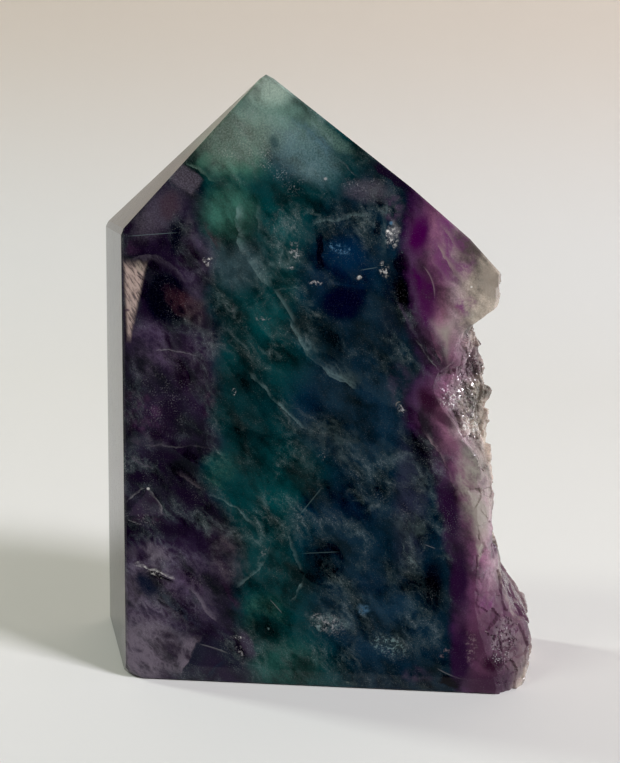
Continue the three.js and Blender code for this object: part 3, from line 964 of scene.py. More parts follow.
    stain("fleck of the foot", (28.5, 11.4), (0.9, 0.5), "milk", 0.7, FLECKS, turn=35),
    # The blue middle.
    veil("top line of the window", (34, 92.2), (48.2, 94.8), 1.1, "milk", 0.4, bend=0.35),
    stain("blue of the window", (42.4, 87.5), (5.5, 4.5), "window_blue", 0.85),
    pane("dark bar", (37.5, 87.8), (0.9, 4.6), "navy", 0.95, softness=0.6),
    pane("dark bar, right", (48.2, 92.4), (0.8, 2.2), "navy", 0.9, softness=0.6),
    stain("sky flecks", (41.4, 88.4), (3.4, 1.4), "sky", 1.0, FLECKS, turn=-14),
    stain("sky glow", (41.3, 88.3), (2.6, 1.3), "sky", 0.42, CLOUDS, turn=-12),
    stain("white flecks, left", (37, 81.6), (1.7, 0.8), "bone", 0.85, FLECKS),
    stain("white fleck, middle", (45.2, 83.1), (0.65, 0.6), "fleck_and_glint_white", 0.95, CLOUDS,
          softness=0.6),
    stain("deep of the window", (42, 78), (6.6, 4.6), "navy_blue", 0.97, softness=0.6),
    pane("level edge of the deep", (42, 81.6), (6, 0.5), "window_blue", 0.5, turn=-2, softness=0.8),
    stain("speckled bank", (46, 100.3), (7, 2.2), "bone", 0.62, GRAINS),
    stain("speckled bank, haze", (46, 99.2), (6.5, 3.0), "haze_grey", 0.7, MIST, turn=-6),
    stain("pale right edge of the point", (38.5, 109.2), (8, 1.8), "mist_green", 0.75, MIST,
          turn=-37),
    veil("white streak of the point", (39.2, 105.8), (44.2, 101.4), 0.5, "bone", 0.55),
    veil("pale streak of the point", (33, 113.5), (40.5, 106.5), 1.0, "milk", 0.49),
    pane("black edge", (50.3, 102.0), (5.2, 1.1), "purple_black", 0.98, turn=-37, softness=0.5),
    stain("grey violet curtain", (51, 96), (2.8, 3.4), "slate_violet", 1.0, CLOUDS),
    veil("curtain's left fold", (49.6, 98.5), (50.0, 86.5), -1.8, "milk", 0.44),
    stain("white curtain", (51.2, 91.4), (1.5, 3.4), "bone", 0.72, CLOUDS),
    stain("white curtain's grains", (51.0, 91), (1.9, 3), "fleck_and_glint_white", 0.8, FLECKS),
    stain("bright bead", (50.1, 91.9), (0.4, 0.35), "fleck_and_glint_white", 1.0, FRONT),
    stain("turquoise bead", (50.8, 93.5), (0.5, 0.5), "sky", 0.9),
    stain("black beyond the curtain", (53, 86), (2.4, 3.4), "black", 0.93),
    stain("grains over the black", (52.2, 87.4), (2, 1.8), "milk", 0.6, GRAINS),
    stain("white chain", (49.8, 84.8), (1.3, 2.2), "fleck_and_glint_white", 0.75, FLECKS, turn=12),
    veil("line to the chain", (45, 84.4), (48.8, 85.1), 0.3, "milk", 0.49, FRONT),
    stain("black beside the side", (53.2, 80.5), (2.3, 6), "black", 0.97),
    veil("blue seam", (51.2, 79.5), (58.2, 68.2), 1.2, "slate_violet", 0.75, bend=0.3),
    stain("ring fleck", (53.9, 58.2), (1.3, 1.0), "bone", 0.85, FLECKS, turn=-40),
    veil("ring fleck's arc", (52.8, 58.4), (53.9, 59.6), -0.4, "tan", 0.7, FRONT, bend=0.5),
    stain("violet smoke", (53.5, 63), (4, 6), "slate_violet", 0.6, CLOUDS),
    stain("smoke of the middle", (41, 52), (8, 6), "milk", 0.26, CLOUDS, turn=-20),
    stain("speckle chain", (39.5, 48.5), (4.2, 1.7), "bone", 0.5, GRAINS, turn=-35),
    stain("speckle chain, lower", (48, 42.5), (6.5, 1.6), "bone", 0.45, GRAINS, turn=-38),
    stain("smoke, right", (57, 35), (4.5, 4), "milk", 0.3, CLOUDS),
    stain("smoke grains", (54.5, 37), (3.2, 4), "bone", 0.42, GRAINS, turn=35),
    stain("black beside the middle", (58.3, 49.5), (2.6, 5.5), "black", 0.9, turn=28),
    stain("black below the lines", (61.5, 22.5), (3, 8.5), "black", 0.85, turn=-4),
    veil("slanting line", (50.5, 33.2), (52.4, 27.6), 0.5, "milk", 0.34),
    veil("slanting line, right", (54, 32.5), (58.8, 25), 0.5, "milk", 0.36, bend=-0.3),
    veil("short white line", (59.2, 31.1), (61.8, 30.2), 0.3, "bone", 0.5, FRONT),
    stain("blue spot", (47.7, 16.7), (1.9, 1.9), "sky", 0.75, CLOUDS),
    stain("blue haze", (49, 22.5), (5, 3.5), "window_blue", 0.5),
    stain("haze of the white bank", (41.5, 14.3), (6.5, 3.2), "milk", 0.5, CLOUDS, turn=-15),
    stain("white bank", (40.6, 13.8), (5.4, 2.6), "bone", 0.68, FLECKS, turn=-18),
    stain("white bank, grains", (42, 13.4), (7, 3.4), "bone", 0.5, GRAINS, turn=-12),
    stain("lump of the bank", (39, 12.8), (1.0, 0.6), "milk", 0.7, CLOUDS, turn=-30),
    stain("haze of the right bank", (54, 9.4), (6, 3.4), "milk", 0.28, CLOUDS, turn=-20),
    stain("white bank, right", (53.2, 9.6), (5.4, 3.2), "milk", 0.68, FLECKS, turn=-20),
    stain("white bank, right grains", (54.5, 9), (7, 3.6), "bone", 0.42, GRAINS, turn=-15),
    stain("pale foot", (45.8, 1.0), (2.4, 0.7), "pale_green", 0.7, CLOUDS),
    stain("smoke of the foot", (59, 3.5), (4.5, 2.6), "slate_violet", 0.7, CLOUDS),
    stain("grains by the side", (64.2, 8.4), (2.0, 1.1), "lilac", 0.7, FLECKS, turn=30),
    pane("black corner of the foot", (65.8, 2.6), (3.6, 1.7), "black", 0.95, turn=-22,
         softness=0.6),
    veil("pale line of the foot", (62.5, 5.4), (68.6, 2.9), 0.4, "bone", 0.49, FRONT, bend=-0.3),
    # The violet side, from the top.
    stain("lobe, upper", (62, 92), (6, 7), "orchid", 0.9, STREAKS, turn=-35),
    stain("purple top of the lobe", (58.6, 97.3), (2.6, 2), "mauve_dark", 0.8, turn=-37),
    veil("violet band, top", (54.9, 100.5), (55.2, 86.5), -3.4, "violet", 0.9, softness=0.3,
         bend=0.5),
    veil("violet band, lower", (54.6, 88.5), (58.6, 71.5), -3.6, "violet", 0.9, softness=0.3,
         bend=0.3),
    stain("violet heart", (56.2, 91.3), (2.9, 5.6), "violet", 1.0, softness=0.95, turn=-8),
    stain("violet flank", (58.0, 79.5), (2.5, 7.6), "violet", 0.9, softness=0.95, turn=12),
    stain("purple of the lobe", (62.5, 86.5), (6, 6.5), "orchid", 0.9, STREAKS, turn=-40),
    veil("pale streak of the lobe", (59.5, 94), (66.5, 85), 0.9, "tan", 0.6, bend=-0.4),
    stain("plum of the lobe", (58.5, 82), (3.6, 8), "wine", 0.8, CLOUDS, turn=10),
    veil("white curve", (56.4, 86), (59.2, 79.0), 0.5, "lilac", 0.75, FRONT, bend=0.9),
    veil("pale veil of the lobe", (58.5, 91.5), (66.5, 80.5), 1.5, "tan", 0.72, bend=-0.8),
    veil("pale veil, second", (57.5, 88.5), (64.5, 80.2), 1.4, "lilac", 0.45, bend=-0.6),
    stain("pink of the lobe", (62.6, 76.8), (3.6, 2.2), "rose", 0.85, CLOUDS, turn=10),
    stain("tan of the lobe", (69.8, 82.5), (3.2, 5), "tan", 0.85, turn=20, softness=0.95),
    stain("violet patch of the lobe", (65.2, 78.5), (2.8, 2.8), "orchid", 0.95, CLOUDS),
    # Painted light: the glow of light shining through the thin stone under the lobe, laid over its
    # tan.
    veil("painted glow under the lobe", (62.5, 74.3), (71.2, 78.6), 1.5, "tan", 0.85, CLOUDS, bend=-0.6),
    stain("white dot of the lobe", (66.1, 81.9), (0.3, 0.3), "fleck_and_glint_white", 0.85, FRONT),
    veil("plum of the flank", (56.6, 75.6), (60.4, 65.8), 2.2, "wine", 0.85, bend=-0.5),
    veil("mauve of the flank", (58.5, 74.5), (61.0, 66.0), 1.6, "mauve", 0.85),
    pane("pale triangle", (61.8, 71.2), (4.6, 7), "pale_tan", 1.0, softness=0.85, turn=187,
         taper=0.85),
    veil("line down to the recess", (55.3, 72.5), (61.4, 65.2), 0.4, "bone", 0.61, bend=-0.4),
    stain("rough recess", (66.5, 68), (4.4, 6.5), "mauve_dark", 0.75, turn=10),
    stain("rough recess, middle", (65.5, 58), (4.6, 6.4), "plum_grey", 0.8, CLOUDS, turn=25),
    # Painted highlights: white glints of the key light on the wet recess, laid into the colour.
    stain("painted glints of the recess", (63.6, 60), (3.4, 2.4), "fleck_and_glint_white", 1.0, FLECKS, turn=-20),
    stain("painted glints, lower recess", (67, 54.4), (2.6, 3.4), "fleck_and_glint_white", 1.0, FLECKS,
          turn=-30),
    stain("plum by the recess", (58.8, 60), (2.5, 4.6), "wine_dark", 0.97, turn=28),
    stain("plum by the recess, lower", (62, 56.5), (3.2, 1.8), "wine_dark", 0.9, turn=-35),
    veil("arc edge", (56.6, 55.2), (65.2, 41.0), 0.9, "lilac", 0.7, bend=1.3),
    stain("mauve inside the arc", (63, 51.6), (3.4, 3.2), "mauve", 0.8, STREAKS, turn=-45),
    stain("pale tongue", (70.2, 37), (2.6, 8.5), "pale_tan", 0.85, turn=6),
    pane("point of the tongue", (70.2, 29.5), (1.9, 3.4), "pale_tan", 0.9, turn=176, taper=0.9,
         softness=0.6),
    stain("purple lobe behind the tongue", (73.4, 30), (1.6, 4.4), "mauve_dark", 0.9, turn=14),
    stain("bulge", (77.5, 12.5), (13, 17), "mauve_dark", 0.95, softness=0.7, turn=6),
    stain("waxy waist", (69.0, 43), (5, 13), "pale_tan", 0.86, STREAKS, turn=10),
    stain("pink haze of the bulge", (72.5, 17), (4.4, 5), "mauve", 0.6, CLOUDS),
    stain("dark violet strip", (63.9, 38), (2.8, 9), "dark_violet", 0.95, turn=14),
    stain("dark violet strip, lower", (66.6, 24), (2.7, 9), "dark_violet", 0.95, turn=3),
    stain("dark violet strip, foot", (67.6, 8), (2.6, 9), "dark_violet", 0.95),
    stain("plum patch of the bulge", (72.5, 19), (3, 2.8), "orchid", 0.8, CLOUDS, softness=0.95),
    stain("dark hollow of the pit", (74.3, 6.6), (3.4, 2.6), "wine_dark", 0.97),
    stain("plum foot of the bulge", (74.5, 2.2), (8, 4.6), "wine", 1.0),
    stain("grains by the boundary", (69.5, 10), (1.6, 5.4), "lilac", 0.7, FLECKS),
    stain("purple flank of the bulge", (79, 15), (4.5, 8), "orchid", 0.5, CLOUDS, turn=22),
    stain("grains of the pit", (75.6, 8), (4.8, 4), "bone", 0.85, GRAINS),
    # Painted light: the pale rims glow with light shining through the thin stone, laid over its
    # tan.
    veil("painted glow of the bulge's rim", (81.9, 0.5), (80.6, 12.5), 2.6, "tan", 0.45, CLOUDS, bend=-0.6),
    veil("painted glow of the rim, upper", (81.2, 10), (72.4, 29.5), 2.2, "tan", 0.62, CLOUDS, bend=-0.8),
    veil("painted glow of the middle rim", (73.4, 36), (70.8, 60), 2.6, "tan", 0.8, CLOUDS, bend=-0.5),
)

# What lies uppermost, just under the front.
FUR_PATCH = (
    pane("furry inclusion", (1.9, 77.4), (2.9, 8.8), "fur", 1.0, FUR, turn=175, taper=0.78,
         softness=0.35),
    stain("yellowish top of the fur", (3.4, 84), (1.0, 1.7), "tan", 0.85, FUR, turn=12),
    veil("dark slash in the fur", (2.6, 83.2), (4.6, 81.7), 0.3, "purple_black", 0.95, FRONT),
    veil("second slash", (2.6, 82.6), (4.4, 81.2), 0.25, "purple_black", 0.9, FRONT),
    stain("dark spot in the fur", (1.0, 75.7), (0.7, 0.4), "plum", 0.85, FRONT),
    veil("scratch", (0.3, 89.6), (11.6, 90.7), 0.22, "milk", 0.6, FRONT),
)


def swayed(tree, point, width, reach, detail):
    """The point moved about by clouds of this width, by up to half of the reach each way."""
    wander = cloud(tree, point, width, detail).outputs["Color"]
    parts = add_node(tree, "ShaderNodeSeparateColor", {0: wander}).outputs
    moves = [maths(tree, "MULTIPLY", maths(tree, "SUBTRACT", part, 0.5), reach) for part in parts]
    move = add_node(tree, "ShaderNodeCombineXYZ", dict(enumerate(moves))).outputs[0]
    return vector_maths(tree, "ADD", point, move)


def leaning(tree, point, lean, stretch):
    """The point in a frame stretched along an axis that leans this many degrees from level."""
    inputs = {
        "Vector": point, "Rotation": (0, -math.radians(lean), 0), "Scale": (stretch, 1.0, 1.0),
    }
    return add_node(tree, "ShaderNodeMapping", inputs, vector_type="TEXTURE").outputs[0]


def past_edge(tree, point, stations):
    """How far right of an edge the point lies. The edge is given as x over the height."""
    height = share_along(tree, point, (0, 0, 1 / CURVE_TALL))
    height = maths(tree, "ADD", height, CURVE_DROP / CURVE_TALL)
    edge = add_node(tree, "ShaderNodeFloatCurve", {"Value": height})
    curve = edge.mapping.curves[0]
    places = [((level + CURVE_DROP) / CURVE_TALL, x / CURVE_WIDE) for level, x in stations]
    for place in places[2:]:
        curve.points.new(*place)
    for knot, place in zip(curve.points, sorted(places)):
        knot.location = place
    edge.mapping.update()
    across = share_along(tree, point, (1, 0, 0))
    return maths(tree, "MULTIPLY_ADD", edge.outputs[0], -CURVE_WIDE, across)


def fields_group():
    """Where a point of the stone lies, in its millimetres, and the fields that vary through it."""
    edges = {"Past purple": PURPLE_EDGE, "Past green": GREEN_EDGE, "Past violet": VIOLET_EDGE}
    fields = (CLOUDS, STREAKS, MIST, GRAINS, FLECKS, FRONT, FUR, "Smoke")
    fields += (*SPREAD_UNDER, *SPREAD_OVER)
    outputs = {"Exact": "Vector", "Detail": "Vector"}
    outputs.update({name: "Float" for name in (*fields, *edges)})
    tree, _, result = new_group("Inside of the stone", {}, outputs)

    def noise(name, point, **settings):
        return cloud(tree, point, *NOISES[name], **settings)

    def both(first, second):
        return maths(tree, "MULTIPLY", first, second)

    # The point, and the same point moved about more and more finely, so that what is laid there
    # drifts, curls and frays.
    place = add_node(tree, "ShaderNodeTexCoord").outputs["Object"]
    exact = vector_maths(tree, "MULTIPLY_ADD", place, (1 / MM,) * 3, FOOTPRINT_MIDDLE)
    depth = share_along(tree, exact, (0, 1, 0))
    width, drift, smoothness = DRIFT
    drifted = swayed(tree, exact, width, both(depth, drift), smoothness)
    curled = swayed(tree, drifted, *CURL)
    swung = swayed(tree, drifted, *SWING)
    along_smoke = leaning(tree, curled, *SMOKE_LEAN)
    smoke = noise("smoke", along_smoke).outputs["Fac"]
    drag = maths(tree, "SUBTRACT", smoke, 0.5)
    drag = add_node(tree, "ShaderNodeCombineXYZ", {"X": drag, "Z": drag}).outputs[0]
    detail = vector_maths(tree, "ADD", swayed(tree, swung, *FRAY), drag)
    made = {"Exact": exact, "Detail": detail}
    for name, stations in edges.items():
        made[name] = past_edge(tree, detail, stations)

    # Soft and streaky fields. Each ramp gives the range of the noise that it turns into 0 to 1,
    # or into its last two numbers.
    clouds = noise("clouds", exact).outputs["Fac"]
    made[CLOUDS] = ramp(tree, clouds, 0.36, 0.62, 0.1, 1.0)
    ridges = noise("ridges", along_smoke, noise_type="RIDGED_MULTIFRACTAL", normalize=False)
    for name, value in (("Lacunarity", 2.2), ("Offset", 1.0), ("Gain", 2.0)):
        ridges.inputs[name].default_value = value
    ridges = ridges.outputs["Fac"]
    made[STREAKS] = ramp(tree, ridges, 0.8, 2.8, 0.3, 1.1)
    grit = noise("grit", exact).outputs["Fac"]
    made[MIST] = ramp(tree, grit, 0.34, 0.66, 0.62, 1.06)
    gritty = ramp(tree, grit, 0.3, 0.7, 0.78, 1.2)
    made["Smoke"] = both(ramp(tree, smoke, 0.33, 0.67, 0.24, 1.92), gritty)
    patches = ramp(tree, noise("patches", exact).outputs["Fac"], 0.4, 0.66, 0.08, 1.0)
    made["Wisps"] = both(ramp(tree, ridges, 1.5, 3.2), patches)
    made["Threads"] = both(ramp(tree, ridges, 2.3, 3.6), patches)
    folds = noise("folds", leaning(tree, swung, *FOLDS_LEAN)).outputs["Fac"]
    fold = maths(tree, "FRACT", both(folds, FOLDS_COUNT))
    made["Sheets"] = both(ramp(tree, fold, 0.0, 0.05), ramp(tree, fold, 1.0, 0.0))

    # Grainy fields.
    crowds = ramp(tree, noise("crowds of grains", exact).outputs["Fac"], 0.38, 0.6)
    grains = ramp(tree, noise("grains", exact).outputs["Fac"], 0.5, 0.68)
    made[GRAINS] = both(grains, crowds)
    made[FLECKS] = ramp(tree, noise("flecks", exact).outputs["Fac"], 0.48, 0.6)
    specks = ramp(tree, noise("specks", exact).outputs["Fac"], 0.58, 0.74)
    made["Specks"] = both(specks, maths(tree, "MULTIPLY_ADD", made["Wisps"], 0.9, 0.1))

    # Fields that end a few millimetres behind the front.
    made[FRONT] = ramp(tree, depth, 6.0, 3.5)
    fur = noise("combed fur", leaning(tree, exact, *FUR_LEAN)).outputs["Fac"]
    made[FUR] = both(ramp(tree, fur, 0.36, 0.56, 0.5, 1.0), made[FRONT])
    for name, value in made.items():
        tree.links.new(value, result[name])
    return tree


def fluorite_group(colours):
    """The colour anywhere in the stone, with its bands, clouds, cracks, panes, grains and fur."""
    group, _, result = new_group("Banded fluorite", {}, {"Colour": "Color"})
    kinds = {"Soft stain": stain_group(), "Crack veil": veil_group(), "Inner pane": pane_group()}
    inside = add_node(group, "ShaderNodeGroup", node_tree=fields_group()).outputs

    def tint(name):
        return (*getattr(colours, name), 1.0)

    def lay(features, colour):
        for kind, name, shade, breakup, sockets in features:
            node = add_node(group, "ShaderNodeGroup", node_tree=kinds[kind], label=name, inputs={
                **sockets, "Colour": colour, "Tint": tint(shade),
                "Point": inside["Exact" if breakup in (FRONT, FUR) else "Detail"],
                "Breakup": 1.0 if breakup == EVEN else inside[breakup],
            })
            colour = node.outputs["Colour"]
        return colour

    def spread(fields, colour):
        for name, (density, shade) in fields.items():
            share = maths(group, "MULTIPLY", inside[name], density)
            colour = mix_colours(group, share, colour, tint(shade))
        return colour

    purple = ramp(group, inside["Past purple"], *PURPLE_FADE)
    colour = mix_colours(group, purple, tint("slate"), tint("purple_black"))
    green = maths(group, "SUBTRACT", ramp(group, inside["Past green"], *GREEN_FADE), purple)
    colour = mix_colours(group, maths(group, "MAXIMUM", green, 0.0), colour, tint("sea_green"))
    colour = lay(BANDS, colour)
    way_across = maths(
        group, "MULTIPLY_ADD", inside["Past violet"], 1 / SIDE_REACH, -SIDE_START / SIDE_REACH
    )
    across = add_node(group, "ShaderNodeValToRGB", {"Fac": way_across})
    stops = across.color_ramp.elements
    while len(stops) < len(VIOLET_SIDE):
        stops.new(1.0)
    for stop, (reach, name) in zip(stops, VIOLET_SIDE):
        stop.position = (reach - SIDE_START) / SIDE_REACH
        stop.color = tint(name)
    side = ramp(group, inside["Past violet"], *VIOLET_FADE)
    colour = mix_colours(group, side, colour, across.outputs["Color"])
    shaded = add_node(group, "ShaderNodeHueSaturation", {"Color": colour, "Value": inside["Smoke"]})
    colour = spread(SPREAD_UNDER, shaded.outputs[0])
    colour = lay(FEATURES, colour)
    colour = spread(SPREAD_OVER, colour)
    colour = lay(FUR_PATCH, colour)
    gain, lift = ((value,) * 3 for value in DEEPENING)
    deepened = vector_maths(group, "MULTIPLY_ADD", colour, gain, lift)
    group.links.new(vector_maths(group, "MAXIMUM", deepened, (0.0,) * 3), result["Colour"])
    return group


FLUORITE_IOR = 1.434

# The mesh attribute that says how thickly each point is lined with crystals.
LINING = "lining"


def new_material(name):
    material = bpy.data.materials.new(name)
    material.use_nodes = True
    material.node_tree.nodes.clear()
    return material, material.node_tree


def add_surface(tree, finish):
    """A shader with this finish, joined to the material's output."""
    surface = add_node(tree, "ShaderNodeBsdfPrincipled", finish)
    output = tree.nodes.new("ShaderNodeOutputMaterial")
    tree.links.new(surface.outputs[0], output.inputs["Surface"])


def add_stone_surface(tree, banding, finish):
    """The shader of the stone, fed by the banding. Only the finish differs between surfaces."""
    inside = add_node(tree, "ShaderNodeGroup", node_tree=banding)
    add_surface(tree, {"Base Color": inside.outputs["Colour"], "IOR": FLUORITE_IOR, **finish})


def polished_material(banding, settings):
    material, tree = new_material("polished_fluorite")
    place = add_node(tree, "ShaderNodeTexCoord").outputs["Object"]
    rub = cloud(tree, place, 2 * MM, 4.0, 0.6).outputs["Fac"]
    add_stone_surface(tree, banding, {
        "Specular IOR Level": 0.2,
        "Roughness": ramp(tree, rub, 0.3, 0.8, settings.polish, settings.polish * 2),
    })
    return material


def broken_material(banding, settings):
    """The waxy break, with light scattered under it and a wet gloss where crystals line it."""
    material, tree = new_material("broken_fluorite")
    place = add_node(tree, "ShaderNodeTexCoord").outputs["Object"]
    patches = cloud(tree, place, 3 * MM, 4.0, 0.6).outputs["Fac"]
    grain = cloud(tree, place, 0.9 * MM, 5.0, 0.6).outputs["Fac"]
    bump = add_node(
        tree, "ShaderNodeBump", {"Strength": 0.6, "Distance": 0.16 * MM, "Height": grain}
    )
    lined = add_node(tree, "ShaderNodeAttribute", attribute_name=LINING).outputs["Fac"]
    gloss = settings.wet_break
    add_stone_surface(tree, banding, {
        "Specular IOR Level": 0.5,
        "Roughness": ramp(tree, patches, 0.35, 0.7, gloss * 0.6, gloss * 1.5),
        "Normal": bump.outputs[0],
        "Subsurface Weight": 0.35,
        "Subsurface Radius": (1.0, 0.75, 0.9),
        "Subsurface Scale": 2.5 * MM,
        "Coat Weight": lined,
        "Coat Roughness": 0.04,
        "Coat IOR": 1.8,
    })
    return material


# ------------------------------------------------------------------------- crystal crust

# Where the break is lined with small crystals: the middle and reach of each place.
LINED_PLACES = {
    "recess": ((67.5, 5, 62), (5, 6, 13)),
    "pit": ((76.5, 2.5, 10.5), (4.6, 6, 5.5)),
}

# How far behind the front the lining starts, and where it is whole.
LINING_STARTS = (0.6, 1.4)

# The smallest and largest crystal, as shares of the crystal size.
CRYSTAL_SPREAD = (0.35, 1.3)


def lining_share(point):
    """How thickly a point of the break is lined with crystals, from 0 to 1.

    The inner half of each place is fully lined.
    """
    share = 0.0
    for middle, reach in LINED_PLACES.values():
        away = Vector([(a - b) / c for a, b, c in zip(point, middle, reach)]).length
        share = max(share, 1 - away)
    return max(0.0, min(1.0, 2 * share)) * smoothstep(point[1], *LINING_STARTS)


def crystal_tree(material, settings):
    """Geometry nodes that grow small crystals on a surface, as thickly as its lining says."""
    tree = bpy.data.node_groups.new("Crystal crust", "GeometryNodeTree")
    tree.interface.new_socket("Geometry", in_out="INPUT", socket_type="NodeSocketGeometry")
    for label, kind, value in (
        ("Width", "Float", settings.crystal_size * MM),
        ("Density", "Float", settings.crystal_density / MM**2),
        ("Seed", "Int", settings.crystal_seed),
    ):
        socket = tree.interface.new_socket(label, in_out="INPUT", socket_type="NodeSocket" + kind)
        socket.default_value = value
    tree.interface.new_socket("Geometry", in_out="OUTPUT", socket_type="NodeSocketGeometry")
    given = tree.nodes.new("NodeGroupInput").outputs
    result = tree.nodes.new("NodeGroupOutput").inputs

    lining = add_node(tree, "GeometryNodeInputNamedAttribute", {"Name": LINING}, data_type="FLOAT")
    density = maths(tree, "MULTIPLY", given["Density"], lining.outputs["Attribute"])
    scattered = add_node(
        tree, "GeometryNodeDistributePointsOnFaces",
        {"Mesh": given["Geometry"], "Density": density, "Seed": given["Seed"]},
    )
    crystal = add_node(tree, "GeometryNodeMeshIcoSphere", {"Radius": 0.5, "Subdivisions": 1})
    turn = add_node(
        tree, "FunctionNodeRandomValue",
        {0: (0.0, 0.0, 0.0), 1: (math.tau, math.tau, math.tau), "Seed": given["Seed"]},
        data_type="FLOAT_VECTOR",
    )
    smallest, largest = CRYSTAL_SPREAD
    size = add_node(
        tree, "FunctionNodeRandomValue", {2: smallest, 3: largest, "Seed": given["Seed"]},
        data_type="FLOAT",
    )
    width = maths(tree, "MULTIPLY", size.outputs[1], given["Width"])
    grown = add_node(tree, "GeometryNodeInstanceOnPoints", {
        "Points": scattered.outputs["Points"], "Instance": crystal.outputs[0],
        "Rotation": turn.outputs[0], "Scale": width,
    })
    single = add_node(tree, "GeometryNodeRealizeInstances", {0: grown.outputs[0]})
    inputs = {0: single.outputs[0], "Material": material}
    dressed = add_node(tree, "GeometryNodeSetMaterial", inputs)
    tree.links.new(dressed.outputs[0], result["Geometry"])
    return tree


def applied(source, name, tree):
    """What a geometry nodes tree makes from a source object, as a plain object of its own."""
    modifier = source.modifiers.new(tree.name, "NODES")
    modifier.node_group = tree
    for item in tree.interface.items_tree:
        if item.in_out == "INPUT" and item.socket_type != "NodeSocketGeometry":
            modifier[item.identifier] = item.default_value
    evaluated = source.evaluated_get(bpy.context.evaluated_depsgraph_get())
    mesh = bpy.data.meshes.new_from_object(evaluated)
    source.modifiers.remove(modifier)
    mesh.name = name
    return new_object(name, mesh)


# --------------------------------------------------------------------------- operators

STONE_PIECE = "fluorite_slab_stone"
CRUST_PIECE = "fluorite_crystal_crust"


class FLUORITE_OT_stone(bpy.types.Operator):
    """Cut, break and polish the stone, and band it with its colours"""

    bl_idname = "fluorite.stone"
    bl_label = "Cut the stone"

    def execute(self, context):
        settings, colours = context.scene.fluorite_stone, context.scene.fluorite_colours
        stone = cut_stone(settings, STONE_PIECE)
        lining = stone.data.attributes.new(LINING, "FLOAT", "POINT")
        for vertex, value in zip(stone.data.vertices, lining.data):
            value.value = lining_share(vertex.co / MM + FOOTPRINT_MIDDLE)
        banding = fluorite_group(colours)
        stone.data.materials.append(polished_material(banding, settings))
        stone.data.materials.append(broken_material(banding, settings))
        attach(stone, BODY)
        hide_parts(NODE)
        return {"FINISHED"}


class FLUORITE_OT_crust(bpy.types.Operator):
    """Grow the small sparkling crystals in the recess and the pit of the broken side"""

    bl_idname = "fluorite.crust"
    bl_label = "Grow the crystals"

    def execute(self, context):
        settings = context.scene.fluorite_stone
        stone = bpy.data.objects[STONE_PIECE]
        ground = stone.copy()
        ground.data = stone.data.copy()
        context.collection.objects.link(ground)
        material = stone.data.materials[BROKEN]
        crust = applied(ground, CRUST_PIECE, crystal_tree(material, settings))
        bpy.data.objects.remove(ground)
        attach(crust, BODY)
        return {"FINISHED"}


# The studio, in metres.
CAMERA_PLACE = Vector((0.010068, -0.221925, 0.103160))
CAMERA_TURN = math.radians(-2.86615)
CAMERA_PITCH = math.radians(11)
CAMERA_ROLL = math.radians(1.25389)
SENSOR = 36
LENS = SENSOR * 1100 / 763
CLIP_START, CLIP_END = 0.01, 20
FLOOR_FRONT = -1.6
SWEEP_START = 0.30
SWEEP_RADIUS = 0.28
SWEEP_STEPS = 24
BACKDROP_TOP = 1.0
STAGE_HALF_WIDTH = 1.6

# The heights between which the table's colour turns into the backdrop's darker painted shade.
BACKDROP_SHADE_FADE = (0.03, 0.24)

# The black card's corners, from near the stone outwards and up: half its width there, y, z.
FLAG_PROFILE = ((0.055, -0.02, 0.001), (0.3, -0.6, 0.001), (0.3, -0.6, 0.8))

# The lights: the setting that holds the power, the share of it, the place, width and colour.
LIGHTS = {
    "key": ("key_power", 1.0, (1.0, -0.54, 0.94), 0.3, (0.92, 0.90, 0.97)),
    "fill": ("fill_power", 1.0, (-1.74, 0.50, 0.80), 0.24, (0.88, 0.95, 0.88)),
    "high_fill": ("fill_power", 0.17, (-0.60, -0.42, 1.1), 0.3, (0.92, 0.95, 0.84)),
}
LIGHT_TARGET = Vector((0, 0, 0.05))
ROOM_COLOUR = (1.0, 0.92, 0.68, 1.0)


def make_camera():
    data = bpy.data.cameras.new("camera")
    data.lens, data.sensor_width = LENS, SENSOR
    data.clip_start, data.clip_end = CLIP_START, CLIP_END
    look = Vector((
        math.sin(CAMERA_TURN) * math.cos(CAMERA_PITCH),
        math.cos(CAMERA_TURN) * math.cos(CAMERA_PITCH),
        -math.sin(CAMERA_PITCH),
    ))
    level = Vector((math.cos(CAMERA_TURN), -math.sin(CAMERA_TURN), 0))
    upright = level.cross(look)
    right = level * math.cos(CAMERA_ROLL) + upright * math.sin(CAMERA_ROLL)
    up = upright * math.cos(CAMERA_ROLL) - level * math.sin(CAMERA_ROLL)
    axes = Matrix((right, up, -look)).transposed().to_4x4()
    camera = new_object("camera", data)
    camera.matrix_world = Matrix.Translation(CAMERA_PLACE) @ axes
    bpy.context.scene.camera = camera


def make_sweep():
    """The table top that curves up into the backdrop."""
    profile = [(FLOOR_FRONT, 0.0), (SWEEP_START, 0.0)]
    for step in range(1, SWEEP_STEPS + 1):
        turn = math.pi / 2 * step / SWEEP_STEPS
        profile.append((
            SWEEP_START + SWEEP_RADIUS * math.sin(turn), SWEEP_RADIUS * (1 - math.cos(turn))
        ))
    profile.append((SWEEP_START + SWEEP_RADIUS, BACKDROP_TOP))
    sweep = bmesh.new()
    rows = [
        [sweep.verts.new((side * STAGE_HALF_WIDTH, y, z)) for side in (-1, 1)] for y, z in profile
    ]
    for low, high in zip(rows, rows[1:]):
        sweep.faces.new((low[0], low[1], high[1], high[0])).smooth = True
    return mesh_object(sweep, "table_and_backdrop")


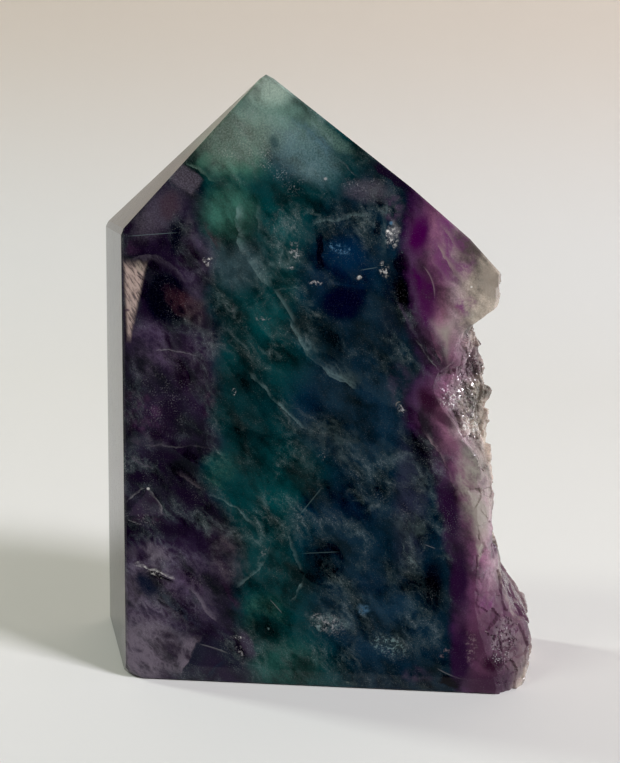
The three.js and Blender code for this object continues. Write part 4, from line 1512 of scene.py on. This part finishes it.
def paper_material(settings):
    """Matt paper, the table's colour below and the backdrop's darker colour higher up, as painted
    shade.
    """
    material, tree = new_material("studio_paper")
    place = add_node(tree, "ShaderNodeTexCoord").outputs["Object"]
    height = add_node(tree, "ShaderNodeSeparateXYZ", {0: place}).outputs["Z"]
    share = ramp(tree, height, *BACKDROP_SHADE_FADE)
    shade = mix_colours(tree, share, (*settings.floor, 1.0), (*settings.backdrop, 1.0))
    add_surface(tree, {"Base Color": shade, "Roughness": 0.9, "Specular IOR Level": 0.1})
    return material


def make_flag():
    """A black card in front of the stone. Only the polish sees it, so that the front reads dark."""
    corners = [(side * half, y, z) for half, y, z in FLAG_PROFILE for side in (-1, 1)]
    mesh = bpy.data.meshes.new("black_flag")
    mesh.from_pydata(corners, [], [(0, 1, 3, 2), (2, 3, 5, 4)])
    flag = new_object("black_flag", mesh)
    flag.visible_camera = flag.visible_diffuse = flag.visible_shadow = False
    material, tree = new_material("black_card")
    add_surface(tree, {
        "Base Color": (0.0, 0.0, 0.0, 1.0), "Roughness": 1.0, "Specular IOR Level": 0.0,
    })
    mesh.materials.append(material)
    return flag


def make_light(name, power, place, width, colour):
    data = bpy.data.lights.new(name, "AREA")
    data.shape, data.size, data.size_y = "RECTANGLE", width, width
    data.energy, data.color = power, colour
    light = new_object(name, data)
    light.location = place
    light.rotation_euler = (LIGHT_TARGET - Vector(place)).to_track_quat("-Z", "Y").to_euler()


def make_room_light(strength):
    world = bpy.data.worlds.new("room")
    world.use_nodes = True
    tree = world.node_tree
    tree.nodes.clear()
    inputs = {"Color": ROOM_COLOUR, "Strength": strength}
    background = add_node(tree, "ShaderNodeBackground", inputs)
    output = tree.nodes.new("ShaderNodeOutputWorld")
    tree.links.new(background.outputs[0], output.inputs["Surface"])
    bpy.context.scene.world = world


class FLUORITE_OT_stage(bpy.types.Operator):
    """Set up the table, the backdrop, the lights and the camera"""

    bl_idname = "fluorite.stage"
    bl_label = "Set the stage"

    def execute(self, context):
        settings = context.scene.fluorite_stage
        sweep = make_sweep()
        sweep.data.materials.append(paper_material(settings))
        make_flag()
        for name, (setting, share, place, width, colour) in LIGHTS.items():
            make_light(name, share * getattr(settings, setting), place, width, colour)
        make_room_light(settings.room_light)
        make_camera()
        context.scene.view_settings.view_transform = "Standard"
        return {"FINISHED"}


class FLUORITE_PT_sidebar(bpy.types.Panel):
    """The stone's pieces and settings"""

    bl_label = "Fluorite slab obelisk"
    bl_idname = "FLUORITE_PT_sidebar"
    bl_space_type = "VIEW_3D"
    bl_region_type = "UI"
    bl_category = "Fluorite"

    def draw(self, context):
        for operator, settings in STEPS:
            box = self.layout.box()
            box.operator(operator)
            group = getattr(context.scene, settings)
            for name in group.bl_rna.properties.keys():
                if name not in ("rna_type", "name"):
                    box.prop(group, name)


STEPS = (
    ("fluorite.stone", "fluorite_colours"),
    ("fluorite.crust", "fluorite_stone"),
    ("fluorite.stage", "fluorite_stage"),
)
SETTINGS = {
    "fluorite_colours": FluoriteColours,
    "fluorite_stone": FluoriteStone,
    "fluorite_stage": FluoriteStage,
}
CLASSES = (
    *SETTINGS.values(),
    FLUORITE_OT_stone, FLUORITE_OT_crust, FLUORITE_OT_stage, FLUORITE_PT_sidebar,
)


def register():
    for made in CLASSES:
        bpy.utils.register_class(made)
    for name, group in SETTINGS.items():
        setattr(bpy.types.Scene, name, PointerProperty(type=group))


def unregister():
    for name in SETTINGS:
        delattr(bpy.types.Scene, name)
    for made in reversed(CLASSES):
        bpy.utils.unregister_class(made)


def main():
    register()
    bpy.ops.fluorite.stone()
    bpy.ops.fluorite.crust()
    bpy.ops.fluorite.stage()


if __name__ == "__main__":
    main()
